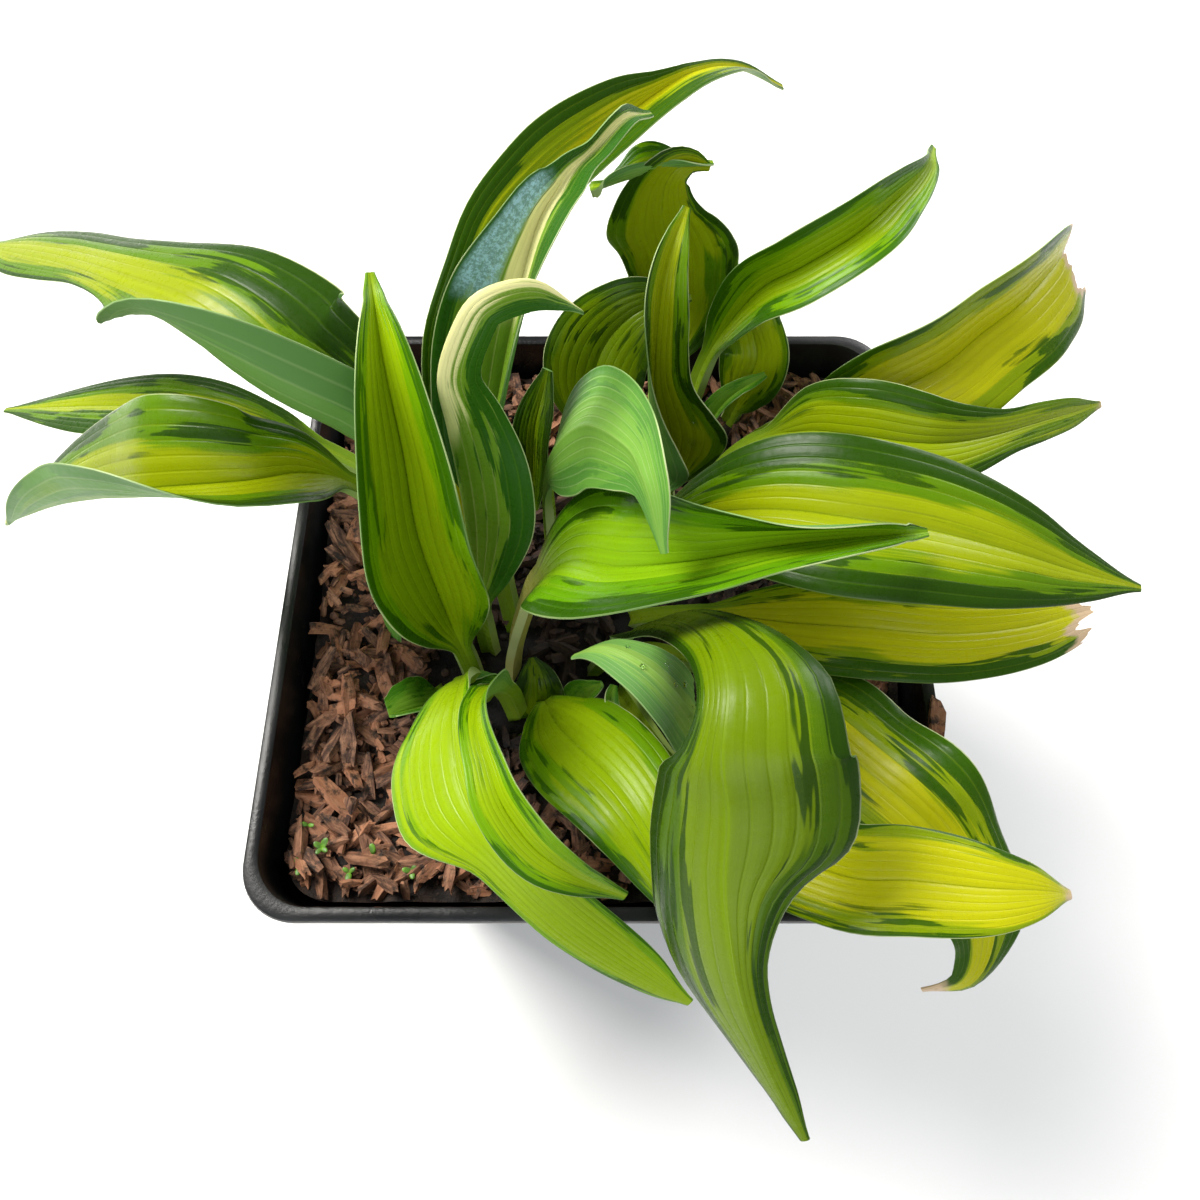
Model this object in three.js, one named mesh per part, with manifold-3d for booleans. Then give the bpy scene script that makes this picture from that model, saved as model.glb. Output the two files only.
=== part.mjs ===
// A hosta with narrow twisted leaves in a square nursery pot.
// Millimetres, +Z up. The origin is the middle of the pot's underside, and -Y is the front.
import * as THREE from "three";
import { mergeVertices } from "three/addons/utils/BufferGeometryUtils.js";
import Module from "manifold-3d";

const wasm = await Module();
wasm.setup();
const { Manifold } = wasm;

// Driving dimensions of the pot
const potWidth = 120; // outer width across the rim
const potHeight = 105;
const potFoot = 88; // outer width at the bottom
const cornerRadius = 9.5; // at the rim
const wall = 1.2;
const floorThickness = 1.6;
const bandHeight = 14; // the stepped band below the rim
const bandStep = 1.6;
const lip = 1.3; // how far the rim stands out over the band
const lipHeight = 2.4;
const drainRadius = 4;
const drainOffset = 24;

// Driving dimensions of the soil
const soilDepth = 13.5; // from the rim down to the soil
const clearance = 0.3; // between the separate pieces
const soilTop = potHeight - soilDepth;
const soilBump = 2.2;
const chipCount = 42;
const chipSeed = 7;
const chipReach = 47; // from the middle, so that the chips clear the wall
const chipFree = 8; // from a stalk to the middle of a chip
const holeSides = 8;
const holeRings = 3;
const holeDepth = 1.1; // under a stalk's foot
const holeRise = 5; // over the soil, so that a hole cuts through its bumps

// Driving dimensions shared by the leaves
const bladeThickness = 0.75;
const stalkThickness = 1.7;
const stalkHalfWidth = 1.9;
const stalkFold = 24; // degrees, each side of the channel
const holeClearance = 1.3; // from a stalk's half width to the radius of its hole
const tipHalfWidth = 0.7;
const keelFold = 62; // degrees, the most at which a half leaves the midrib; the rest is curl
const plainProfile = [0, 0.5, 0.86, 1, 0.96, 0.82, 0.58, 0.28, 0]; // shares of the half width

// Colours
const potColour = 0x2a2b2c;
const soilColour = 0x4a3424;
const leafGreen = 0x4f8a35;
const leafGold = 0xa9bf45;
const leafPale = 0x86a85a;

// Each leaf follows its spine from its foot in the soil to the tip. blade is the share of the
// spine where the blade begins and half its largest half width, which profile shares out
// from there to the tip. left and right are the angles in degrees at which the two halves
// leave the midrib, spread evenly from the foot to the tip, and curl is what each half gains
// by its margin. roll turns the leaf about its spine, wave ripples its margins, and heading
// is the direction that its foot faces.
const leaves = {
  leaf_left_long: {
    spine: [[-26, -2, 84], [-27, 0, 100], [-30, 6, 120], [-36, 10, 134], [-41, 9, 145],
      [-49, 10, 153], [-61, 20, 156], [-77, 32, 150], [-94, 45, 141], [-121, 63, 127]],
    blade: 0.28, half: 17, colour: leafGreen,
    profile: [0, 0.85, 1.14, 0.98, 0.74, 0.58, 0.52, 0.38, 0], profileLeft: [0, 0.75, 1.12, 0.72, 0.22,
      0.12, 0.2, 0.22, 0],
    roll: [0], left: [30, 40, 70, 106, 118, 80, 22, 5, 0, 0, 0], right: [30, 20, 5, 0, 0, 0], curl: [0, -20],
  },
  leaf_left_low: {
    spine: [[-32, 2, 84], [-34, 6, 100], [-39, 10, 116], [-44, 10, 126], [-49, 7, 134], [-56, 3, 138],
      [-70, 3, 136], [-83, 7, 128], [-98, 11, 118], [-116, 14, 105]],
    blade: 0.34, half: 15, colour: leafGreen,
    roll: [0], left: [30, 30, 45, 105, 95, 70], right: [30, 20, 10, 10, 0, 0], curl: [0, -20],
  },
  leaf_left_hidden: {
    spine: [[-31, 9, 84], [-33, 14, 98], [-43, 21, 108], [-58, 27, 114], [-72, 30, 117],
      [-86, 33, 116], [-101, 37, 111], [-127, 44, 100]],
    blade: 0.36, half: 9, colour: leafGreen,
    roll: [0], left: [20, 10], right: [20, 10], curl: [-20, -20],
  },
  leaf_left_boat: {
    spine: [[-25, -14, 84], [-25, -13, 98], [-28, -8, 114], [-30, -3, 131], [-30, 3, 146],
      [-31, 10, 157], [-33, 22, 163]],
    heading: 110, blade: 0.22, half: 14, colour: leafGreen,
    roll: [0], left: [30, 50, 50, 50], right: [30, 50, 60, 50], curl: [0, 0],
  },
  leaf_left_hook: {
    spine: [[-22, -7, 84], [-22, -7, 98], [-23, -1, 116], [-23, 4, 134], [-23, 6, 148], [-23, 7, 158],
      [-20, 8, 167], [-16, 10, 172], [-9, 13, 171], [-3, 15, 163]],
    heading: 70, blade: 0.2, half: 12, colour: leafGreen,
    profile: [0, 0.6, 1, 1, 0.7, 0.45, 0.4, 0.3, 0],
    roll: [0, 0, 0, 10, 50, 65, 70], left: [30, 0, -60, -75, -80, -60, -30, -40, -60], right: [30, 30,
      20, 0, -20, -80, -88, -80, -60], curl: [0, 0],
  },
  leaf_centre_tall: {
    spine: [[-15, -5, 84], [-17.5, -2, 93.5], [-20, 8.5, 108], [-20, 16, 124], [-17, 23, 137],
      [-13.5, 29, 149.5], [-10, 36, 158], [-7, 41.5, 160], [-5, 45, 160.5], [-2, 50, 159.5],
      [3, 56, 160.5], [8, 62.5, 156.5]],
    heading: 80, blade: 0.28, half: 12, colour: leafGold,
    profile: [0, 0.6, 0.95, 1, 0.95, 0.7, 0.3, 0.2, 0], profileLeft: [0, 0.6, 0.9, 1, 0.88, 0.55,
      0.17, 0.15, 0],
    roll: [0], left: [30, 20, 15, 15, 15, 20, 60, 80, 60], right: [30, 40, 75, 75, 70, 30, 30],
    curl: [0, 0],
  },
  leaf_top_arch: {
    spine: [[-22, 1, 84], [-24.5, 9, 97.5], [-26, 19, 114], [-25, 26, 128], [-24, 32, 137],
      [-20, 40, 144], [-16, 47, 148], [-8, 55, 151], [0, 63, 152], [8, 72, 152], [16, 80, 151],
      [25, 87, 147], [35, 91, 140]],
    heading: 80, blade: 0.12, half: 10, stations: 19, colour: leafGreen,
    profile: [0, 0.5, 0.65, 0.65, 0.65, 0.65, 0.65, 0.52, 0],
    profileLeft: [0, 0.3, 0.5, 0.55, 0.6, 0.6, 0.6, 0.65, 0.75, 0.85, 0.8, 0.62, 0.3, 0.1, 0.06,
      0.05, 0],
    roll: [0], left: [30, 20, 20, 30, 40, 60, 70], right: [30, 30, 30, 30, 40, 40], curl: [0, 0],
  },
  leaf_top_curl: {
    spine: [[10, 41, 84], [11, 45.5, 93.5], [14, 56, 107], [14, 60, 118], [12.5, 61, 129],
      [11, 60.5, 137], [11, 61, 142.5], [12.5, 61.5, 146], [15.5, 62.5, 147], [19, 62.5, 146]],
    heading: 90, blade: 0.3, half: 13.5, colour: leafGreen,
    profile: [0, 0.5, 0.88, 0.97, 1, 0.75, 0.42, 0.22, 0], profileLeft: [0, 0.4, 0.5, 0.55, 0.65,
      0.8, 0.6, 0.3, 0],
    roll: [0], left: [30, 15, 10, 10, 20], right: [30, 15, 10], curl: [-20, -20],
  },
  leaf_top_point: {
    spine: [[18, 42, 84], [19, 45.5, 99], [22.5, 48.5, 115], [29, 49.5, 129.5], [36, 48.5, 137],
      [44.5, 51, 142], [51.5, 58.5, 141.5], [59, 68, 140], [63, 77, 138]],
    blade: 0.3, half: 8, colour: leafGreen,
    roll: [0], left: [30, 45, 55, 55], right: [30, 30, 30], curl: [0, 0],
  },
  leaf_centre_small: {
    spine: [[13, 17, 84], [13, 21, 98], [11, 26, 116], [9, 27, 132], [9, 29, 145], [10, 33, 153],
      [13, 40, 158]],
    heading: 90, blade: 0.25, half: 13, colour: leafGreen,
    profile: [0, 0.7, 1, 0.8, 0.5, 0.4, 0.35, 0.2, 0],
    roll: [0], left: [30, 110, 110, 70, 30], right: [30, 20, 20, 30, 30], curl: [0, 0],
  },
  leaf_right_torn: {
    spine: [[26, 33, 84], [30, 37, 95], [40, 37, 107], [48, 34, 115], [55, 34, 120], [63, 36, 125],
      [70, 41, 128], [77, 46, 130], [85, 55, 129], [90, 62, 127]],
    blade: 0.3, half: 13, colour: leafGold,
    profile: [0, 0.5, 0.85, 1, 1, 1, 1, 0.95, 0.7], profileLeft: [0, 0.5, 0.85, 1, 1, 0.9, 0.75,
      0.6, 0.4],
    roll: [0, -10, -20], left: [30, 40, 60, 50], right: [30, 10, 0], curl: [0, -20],
  },
  leaf_right_slim: {
    spine: [[22, 28, 84], [24, 30, 96], [30, 30, 108], [38, 27, 117], [46, 22, 123], [55, 19, 125],
      [62, 19, 125], [71, 22, 123], [83, 28, 119], [98, 36, 113]],
    blade: 0.28, half: 10, colour: leafGreen,
    profile: [0, 0.8, 1, 0.9, 0.6, 0.35, 0.3, 0.22, 0],
    roll: [0], left: [30, 30, 30], right: [30, 20, 10], curl: [-20, -20],
  },
  leaf_right_big: {
    spine: [[1, 9, 84], [4, 9, 98], [10, 7, 116], [18, 3, 128], [28, -1, 136], [39, -5, 140],
      [50, -7, 140], [63, -9, 137], [75, -10, 132], [88, -10, 126]],
    blade: 0.28, half: 13, colour: leafGreen,
    roll: [0], left: [30, 30, 20, 10], right: [30, 20, 10], curl: [-20, -30],
  },
  leaf_middle_level: {
    spine: [[-17, -12, 84], [-16, -10, 98], [-13, -8, 112], [-10, -8, 124], [-5, -9, 134],
      [3, -14, 142], [13, -16, 148], [23, -15, 150], [35, -13, 149], [47, -10, 145]],
    heading: -5, blade: 0.36, half: 13, stalk: 3.2, colour: leafGreen,
    profile: [0, 0.75, 1, 0.95, 0.75, 0.55, 0.4, 0.22, 0],
    roll: [0], left: [30, 30, 0, 25, 95, 80], right: [30, 30, 40, 40], curl: [0, 0],
  },
  leaf_middle_curl: {
    spine: [[-9, 5, 84], [-10, 8.5, 95.5], [-10, 9, 112.5], [-9, 10, 132], [-3, 6, 148.5],
      [3, -3.5, 158], [5.5, -11.5, 161.5], [8, -19, 156]],
    heading: 180, blade: 0.4, half: 10, colour: leafPale,
    profile: [0, 0.7, 1, 1, 0.9, 0.75, 0.5, 0.25, 0], profileLeft: [0, 0.3, 0.8, 1, 0.9, 0.75, 0.5,
      0.25, 0],
    roll: [0], left: [30, 20, 20], right: [30, 20, 20], curl: [-20, -20],
  },
  leaf_right_low: {
    spine: [[4, 1, 84], [9, -2, 95], [20, -6, 106], [33, -11, 114], [44, -14, 119], [57, -16, 121],
      [71, -14, 119], [87, -8, 113]],
    blade: 0.28, half: 9, colour: leafGold,
    profile: [0, 0.5, 0.9, 1, 0.95, 0.85, 0.75, 0.6, 0.4],
    roll: [0], left: [30, 20, 10], right: [30, 20, 10, 10], curl: [-20, -20],
  },
  leaf_right_waved: {
    spine: [[4, -6, 84], [10, -8.5, 93], [21, -16.5, 103.5], [33, -27, 112.5], [40, -37, 119],
      [47, -45, 122], [52, -50, 120], [57, -57, 116], [59, -64, 110], [57, -69, 106], [51, -70, 103]],
    blade: 0.24, half: 12, wave: [1.2, 5], colour: leafGreen,
    roll: [0], left: [30, 20, 30, 30], right: [30, 10, -10, -20], curl: [-20, -20],
  },
  leaf_right_gold: {
    spine: [[3, -13, 84], [5, -21, 98], [13, -38, 112], [24, -50, 122], [34, -56, 129],
      [42, -57, 132], [52, -58, 132], [61, -58, 129], [67, -58, 125]],
    blade: 0.34, half: 7.5, colour: leafGold,
    profile: [0, 0.6, 0.9, 1, 1, 1, 0.85, 0.5, 0],
    roll: [0], left: [30, 20, 10], right: [30, 20, 10], curl: [-20, -20],
  },
  leaf_front_big: {
    spine: [[-2, -11, 84], [0, -13, 98], [4, -15, 116], [10, -20, 136], [14, -28, 150],
      [15, -37, 157], [14, -46, 156], [15, -52, 151], [15, -59, 145], [16, -66, 140], [18, -73, 134],
      [22, -81, 127], [27, -89, 121]],
    blade: 0.2, half: 16, stations: 21, colour: leafGreen,
    profile: [0, 0.15, 0.2, 0.2, 0.2, 0.2, 0.2, 0.22, 0.3, 0.72, 0.9, 1.02, 1.05, 0.85, 0.42,
      0.15, 0],
    profileLeft: [0, 0.12, 0.18, 0.22, 0.25, 0.32, 0.5, 0.78, 0.96, 1.03, 0.97, 0.5, 0.25, 0.18,
      0.15, 0.1, 0],
    roll: [0], left: [30, 20, 0, 0], right: [30, 10, -10, -30, -20], curl: [-30, -30],
  },
  leaf_front_left: {
    spine: [[-22, -17.5, 84], [-22.5, -18, 100], [-23, -21, 113], [-23, -27, 123], [-22.5, -34, 129],
      [-20.5, -43, 132], [-17, -50, 133], [-12, -56, 131], [-6, -61, 127], [2, -66, 121],
      [13, -72, 113]],
    blade: 0.3, half: 13, stations: 21, colour: leafGreen,
    profile: [0, 0.35, 0.62, 0.82, 0.95, 1, 0.97, 0.7, 0.36, 0.28, 0.28, 0.3, 0.3, 0.28, 0.23, 0.15, 0],
    profileLeft: [0, 0.12, 0.2, 0.3, 0.34, 0.36, 0.34, 0.24, 0],
    roll: [0], left: [30, 10, 0], right: [30, 10, 0, 0], curl: [0, -20],
  },
  leaf_front_inner: {
    spine: [[-10, -16, 84], [-10.5, -20, 96], [-8, -27, 106], [-4, -33, 113], [2, -40, 118],
      [6.5, -47, 120], [11, -56, 118], [15, -63, 112]],
    blade: 0.2, half: 10, colour: leafGreen,
    roll: [0], left: [30, 20, 10], right: [30, 10, 0], curl: [-20, -20],
  },
  leaf_back_dark: {
    spine: [[2, 32, 84], [0, 37, 96], [-2, 42, 108], [0, 45, 118], [5, 47, 125], [11, 49, 127],
      [17, 52, 125]],
    blade: 0.25, half: 11, colour: leafGreen,
    roll: [0], left: [30, 30, 30], right: [30, 10, 10], curl: [-20, -20],
  },
  leaf_back_low: {
    spine: [[25, 45, 84], [28, 46, 94], [30, 47, 103], [32, 50, 110], [31, 57, 114], [39, 65, 113]],
    blade: 0.3, half: 8, stations: 13, strips: 4, colour: leafGreen,
    roll: [0], left: [30, 20, 10], right: [30, 30, 20], curl: [-20, -20],
  },
  leaf_young_left: {
    spine: [[-31, -13, 84], [-31, -17, 92], [-32, -21, 98], [-34, -23, 102], [-38, -25, 104]],
    blade: 0.42, half: 6, stations: 13, strips: 4, colour: leafGreen,
    profile: [0, 0.6, 0.9, 1, 1, 1, 0.9, 0.8, 0.5],
    roll: [0], left: [30, 40], right: [30, 40], curl: [0, 0],
  },
  leaf_young_front: {
    spine: [[-4, -21, 84], [-4, -22, 94], [-2.5, -21, 102], [0, -20, 107]],
    blade: 0.45, half: 5, stations: 13, strips: 4, colour: leafGreen,
    roll: [0], left: [30, 40], right: [30, 40], curl: [0, 0],
  },
  leaf_young_back: {
    spine: [[20, 34, 84], [19, 34, 93], [22, 38, 102], [26, 41, 108], [33, 44, 112]],
    blade: 0.4, half: 3.5, stations: 11, strips: 4, colour: leafPale,
    roll: [0], left: [50, 50], right: [50, 50], curl: [0, 0],
  },
  leaf_front_flap: {
    spine: [[8, -16, 84], [9, -19, 98], [11, -25, 112], [13.5, -31, 123], [14, -35, 132],
      [12, -35.5, 140], [9, -34.5, 147], [5, -32, 150], [0, -29, 148], [-4, -28, 142]],
    heading: 0, blade: 0.4, half: 6.5, colour: leafPale,
    profile: [0, 0.7, 1, 1, 1, 0.85, 0.6, 0.3, 0],
    roll: [0], left: [30, 20, 20], right: [30, 20, 20], curl: [-20, -20],
  },
  leaf_front_slim: {
    spine: [[-16, -21, 84], [-16, -22, 100], [-16, -24, 115], [-16.5, -28, 127],
      [-17.5, -33, 136], [-17, -38, 141], [-15, -44, 143], [-13, -49, 143], [-9, -54, 141],
      [-4, -57, 138], [3, -59, 132]],
    blade: 0.38, half: 4.2, colour: leafGreen,
    profile: [0, 0.8, 0.5, 0.45, 0.65, 0.95, 0.9, 0.45, 0],
    roll: [0], left: [40, 40, 20], right: [40, 40, 20], curl: [0, 0],
  },
};

const degrees = (angle) => (angle * Math.PI) / 180;

// The value at share u of numbers spread evenly along a length, on one smooth curve.
function along(values, u) {
  const last = values.length - 1;
  const place = Math.min(Math.max(u, 0), 1) * last;
  const first = Math.min(Math.floor(place), Math.max(last - 1, 0));
  const f = place - first;
  const [a, b, c, d] = [-1, 0, 1, 2].map((k) => values[Math.min(Math.max(first + k, 0), last)]);
  return b + (f * (c - a + f * (2 * a - 5 * b + 4 * c - d + f * (3 * (b - c) + d - a)))) / 2;
}

// Half width of a leaf at share t of its spine.
function halfWidth(leaf, t, side) {
  const u = (t - leaf.blade) / (1 - leaf.blade);
  const stalk = leaf.stalk ?? stalkHalfWidth;
  if (u <= 0) return stalk;
  const low = THREE.MathUtils.lerp(stalk, tipHalfWidth, u);
  const profile = (side < 0 && leaf.profileLeft) || leaf.profile || plainProfile;
  return low + (leaf.half - low) * along(profile, u);
}

// Points, directions and side vectors along a leaf's spine, carried along without twist.
function spineFrames(leaf, count) {
  const points = leaf.spine.map((p) => new THREE.Vector3(...p));
  const curve = new THREE.CatmullRomCurve3(points, false, "catmullrom", 0.5);
  const reach = points.at(-1).clone().sub(points[0]);
  const heading = leaf.heading === undefined ? Math.atan2(reach.y, reach.x) : degrees(leaf.heading);
  const side = new THREE.Vector3(Math.sin(heading), -Math.cos(heading), 0);
  const frames = [];
  for (let i = 0; i < count; i++) {
    const t = i / (count - 1);
    const tangent = curve.getTangentAt(t);
    side.addScaledVector(tangent, -side.dot(tangent)).normalize();
    frames.push({ t, point: curve.getPointAt(t), tangent, side: side.clone() });
  }
  return frames;
}

// The leaf's middle surface: for each station a row of points from its left to its right margin.
function leafSurface(leaf, stations, strips) {
  const step = 4;
  const frames = spineFrames(leaf, (stations - 1) * step + 1).filter((_, i) => i % step === 0);
  return frames.map(({ t, point, tangent, side }) => {
    const roll = degrees(along(leaf.roll, t));
    const lift = new THREE.Vector3().crossVectors(side, tangent);
    const across = side.clone().multiplyScalar(Math.cos(roll)).addScaledVector(lift, Math.sin(roll));
    const up = new THREE.Vector3().crossVectors(across, tangent);
    const open = THREE.MathUtils.smoothstep(t, leaf.blade * 0.8, leaf.blade + 0.12);
    const row = [];
    for (let j = 0; j <= strips; j++) {
      const s = (2 * j) / strips - 1;
      const width = halfWidth(leaf, t, s);
      const [angles, curl] = s < 0 ? [leaf.left, leaf.curl[0]] : [leaf.right, leaf.curl[1]];
      const stiff = Math.min(1, (1.8 * width) / strips / bladeThickness);
      const mean = stiff * THREE.MathUtils.lerp(stalkFold, along(angles, t), open);
      const start = THREE.MathUtils.clamp(mean, -keelFold, keelFold);
      const fold = degrees(start);
      const gain = degrees(stiff * curl * open + 2 * (mean - start)) || 1e-6;
      const out = (Math.sin(fold + gain * Math.abs(s)) - Math.sin(fold)) / gain;
      const rise = (Math.cos(fold) - Math.cos(fold + gain * Math.abs(s))) / gain;
      const [height, waves] = leaf.wave ?? [0, 0];
      const ripple = height * open * Math.abs(s) ** 3 * Math.sin(2 * Math.PI * waves * t);
      row.push(
        point
          .clone()
          .addScaledVector(across, Math.sign(s) * out * width)
          .addScaledVector(up, rise * width + ripple * Math.min(1, 6 * (1 - t))),
      );
    }
    return row;
  });
}

// A closed body of a surface's two faces, its margins and its ends.
function thicken(rows, thickness) {
  const stations = rows.length;
  const strips = rows[0].length - 1;
  const normal = (i, j) => {
    const ahead = rows[Math.min(i + 1, stations - 1)][j].clone().sub(rows[Math.max(i - 1, 0)][j]);
    const across = rows[i][Math.min(j + 1, strips)].clone().sub(rows[i][Math.max(j - 1, 0)]);
    return across.cross(ahead).normalize();
  };
  const positions = [];
  for (const face of [1, -1])
    for (let i = 0; i < stations; i++)
      for (let j = 0; j <= strips; j++) {
        const out = (face * thickness(i, j)) / 2;
        positions.push(...rows[i][j].clone().addScaledVector(normal(i, j), out).toArray());
      }
  const top = (i, j) => i * (strips + 1) + j;
  const under = (i, j) => stations * (strips + 1) + top(i, j);
  const triangles = [];
  const quad = (a, b, c, d) => triangles.push(a, b, c, a, c, d);
  for (let i = 0; i < stations - 1; i++) {
    for (let j = 0; j < strips; j++) {
      quad(top(i, j), top(i, j + 1), top(i + 1, j + 1), top(i + 1, j));
      triangles.push(under(i, j), under(i + 1, j + 1), under(i, j + 1));
      triangles.push(under(i, j), under(i + 1, j), under(i + 1, j + 1));
    }
    quad(top(i, 0), top(i + 1, 0), under(i + 1, 0), under(i, 0));
    quad(top(i, strips), under(i, strips), under(i + 1, strips), top(i + 1, strips));
  }
  for (let j = 0; j < strips; j++) {
    quad(top(0, j), under(0, j), under(0, j + 1), top(0, j + 1));
    const last = stations - 1;
    quad(top(last, j), top(last, j + 1), under(last, j + 1), under(last, j));
  }
  return new THREE.BufferGeometry()
    .setAttribute("position", new THREE.Float32BufferAttribute(positions, 3))
    .setIndex(triangles);
}

function leafGeometry(leaf) {
  const { stations = 17, strips = 6 } = leaf;
  const rows = leafSurface(leaf, stations, strips);
  return thicken(rows, (i) => {
    const open = THREE.MathUtils.smoothstep(i / (stations - 1), leaf.blade * 0.8, leaf.blade + 0.12);
    return THREE.MathUtils.lerp(stalkThickness, bladeThickness, open);
  });
}

// A square outline with rounded corners at height z.
function roundedSquare(halfSide, radius, z, perCorner = 5) {
  const outline = [];
  for (let corner = 0; corner < 4; corner++)
    for (let k = 0; k < perCorner; k++) {
      const angle = (Math.PI / 2) * (corner + k / (perCorner - 1));
      const middle = (Math.PI / 2) * corner + Math.PI / 4;
      const inset = (halfSide - radius) * Math.SQRT2;
      outline.push([
        inset * Math.cos(middle) + radius * Math.cos(angle),
        inset * Math.sin(middle) + radius * Math.sin(angle),
        z,
      ]);
    }
  return outline;
}

// A body between matching outlines, closed by a fan over the first and the last.
function loft(outlines) {
  const count = outlines[0].length;
  const triangles = [];
  const at = (i, j) => i * count + (j % count);
  for (let i = 0; i < outlines.length - 1; i++)
    for (let j = 0; j < count; j++) {
      triangles.push(at(i, j), at(i, j + 1), at(i + 1, j + 1));
      triangles.push(at(i, j), at(i + 1, j + 1), at(i + 1, j));
    }
  const middle = (outline) =>
    outline.reduce((sum, p) => sum.map((v, k) => v + p[k] / count), [0, 0, 0]);
  const bottom = outlines.length * count;
  for (let j = 0; j < count; j++) {
    triangles.push(bottom, at(0, j + 1), at(0, j));
    triangles.push(bottom + 1, at(outlines.length - 1, j), at(outlines.length - 1, j + 1));
  }
  const positions = [...outlines.flat(), middle(outlines[0]), middle(outlines.at(-1))].flat();
  return new THREE.BufferGeometry()
    .setAttribute("position", new THREE.Float32BufferAttribute(positions, 3))
    .setIndex(triangles);
}

function toSolid(geometry) {
  const clean = new THREE.BufferGeometry()
    .setAttribute("position", geometry.getAttribute("position"))
    .setIndex(geometry.index);
  const merged = mergeVertices(clean, 1e-4);
  return new Manifold(
    new wasm.Mesh({
      numProp: 3,
      vertProperties: new Float32Array(merged.attributes.position.array),
      triVerts: new Uint32Array(merged.index.array),
    }),
  );
}

function toGeometry(solid) {
  const mesh = solid.getMesh();
  return new THREE.BufferGeometry()
    .setAttribute("position", new THREE.BufferAttribute(mesh.vertProperties, 3))
    .setIndex(new THREE.BufferAttribute(mesh.triVerts, 1));
}

// The pot's half widths at a height, and its outline there.
const rimHalf = potWidth / 2;
const bandBottom = potHeight - bandHeight;
const bandHalf = rimHalf - lip;
const taperHalf = (z) => THREE.MathUtils.lerp(potFoot / 2, rimHalf, z / potHeight);
const wallHalf = (z) => Math.min(taperHalf(z), bandHalf - bandStep);
const ring = (half, z) => roundedSquare(half, cornerRadius * (half / rimHalf), z);

// The pot: up its outside over the band and the rim, and down its inside.
function potGeometry() {
  const chamfer = 2;
  const body = loft([
    ring(wallHalf(0) - chamfer, 0),
    ring(wallHalf(chamfer), chamfer),
    ring(wallHalf(bandBottom - 1.5), bandBottom - 1.5),
    ring(bandHalf - 0.3, bandBottom),
    ring(bandHalf, potHeight - lipHeight - 0.8),
    ring(rimHalf, potHeight - lipHeight),
    ring(rimHalf, potHeight - 0.5),
    ring(rimHalf - 0.5, potHeight),
    ring(bandHalf - wall + 0.4, potHeight),
    ring(bandHalf - wall, potHeight - 0.5),
    ring(bandHalf - wall - 0.3, bandBottom),
    ring(wallHalf(bandBottom - 1.5) - wall, bandBottom - 1.5),
    ring(wallHalf(floorThickness) - wall, floorThickness),
  ]);
  let pot = toSolid(body);
  for (let k = 0; k < 4; k++) {
    const angle = (Math.PI / 2) * k + Math.PI / 4;
    const drain = new THREE.CylinderGeometry(drainRadius, drainRadius, floorThickness + 2, 20);
    const reach = drainOffset * Math.SQRT2;
    drain.rotateX(Math.PI / 2);
    drain.translate(reach * Math.cos(angle), reach * Math.sin(angle), floorThickness / 2);
    pot = pot.subtract(toSolid(drain));
  }
  return toGeometry(pot);
}

// Numbers from 0 to 1 that are the same on every run.
function seeded(seed) {
  let state = seed;
  return () => {
    state = (Math.imul(state, 1664525) + 1013904223) >>> 0;
    return state / 2 ** 32;
  };
}

// A split chip of bark: a box whose corners are moved and whose ends taper.
function chipGeometry(random) {
  const spread = (low, high) => THREE.MathUtils.lerp(low, high, random());
  const [length, width, thickness] = [spread(7, 17), spread(2.4, 5), spread(1.6, 3)];
  const chip = new THREE.BoxGeometry(length, width, thickness);
  chip.deleteAttribute("normal");
  chip.deleteAttribute("uv");
  const merged = mergeVertices(chip, 1e-3);
  const position = merged.getAttribute("position");
  for (let i = 0; i < position.count; i++) {
    const taper = position.getX(i) > 0 ? spread(0.3, 0.8) : spread(0.6, 1);
    position.setX(i, position.getX(i) * spread(0.75, 1));
    position.setY(i, position.getY(i) * taper);
    position.setZ(i, position.getZ(i) * spread(0.6, 1));
  }
  merged.rotateX(degrees(spread(-50, 50)));
  merged.rotateY(degrees(spread(-24, 24)));
  merged.rotateZ(spread(0, Math.PI));
  return merged;
}

// Where a leaf's stalk is at height z.
function stalkAt(leaf, z) {
  const points = leaf.spine.map((p) => new THREE.Vector3(...p));
  const curve = new THREE.CatmullRomCurve3(points, false, "catmullrom", 0.5);
  const route = curve.getPoints(points.length * 12);
  const above = route.findIndex((p) => p.z >= z);
  if (above < 1) return route[0];
  const [low, high] = [route[above - 1], route[above]];
  return low.clone().lerp(high, (z - low.z) / (high.z - low.z));
}

// The plain hole that a leaf's stalk stands in.
function stalkHole(leaf) {
  const foot = leaf.spine[0][2];
  const outlines = [];
  for (let k = 0; k <= holeRings; k++) {
    const z = THREE.MathUtils.lerp(foot, soilTop + holeRise, k / holeRings);
    const middle = stalkAt(leaf, z);
    const level = k ? z : z - holeDepth;
    const reach = (leaf.stalk ?? stalkHalfWidth) + holeClearance;
    const outline = [];
    for (let j = 0; j < holeSides; j++) {
      const angle = (2 * Math.PI * j) / holeSides;
      outline.push([middle.x + reach * Math.cos(angle), middle.y + reach * Math.sin(angle), level]);
    }
    outlines.push(outline);
  }
  return loft(outlines);
}

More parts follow.
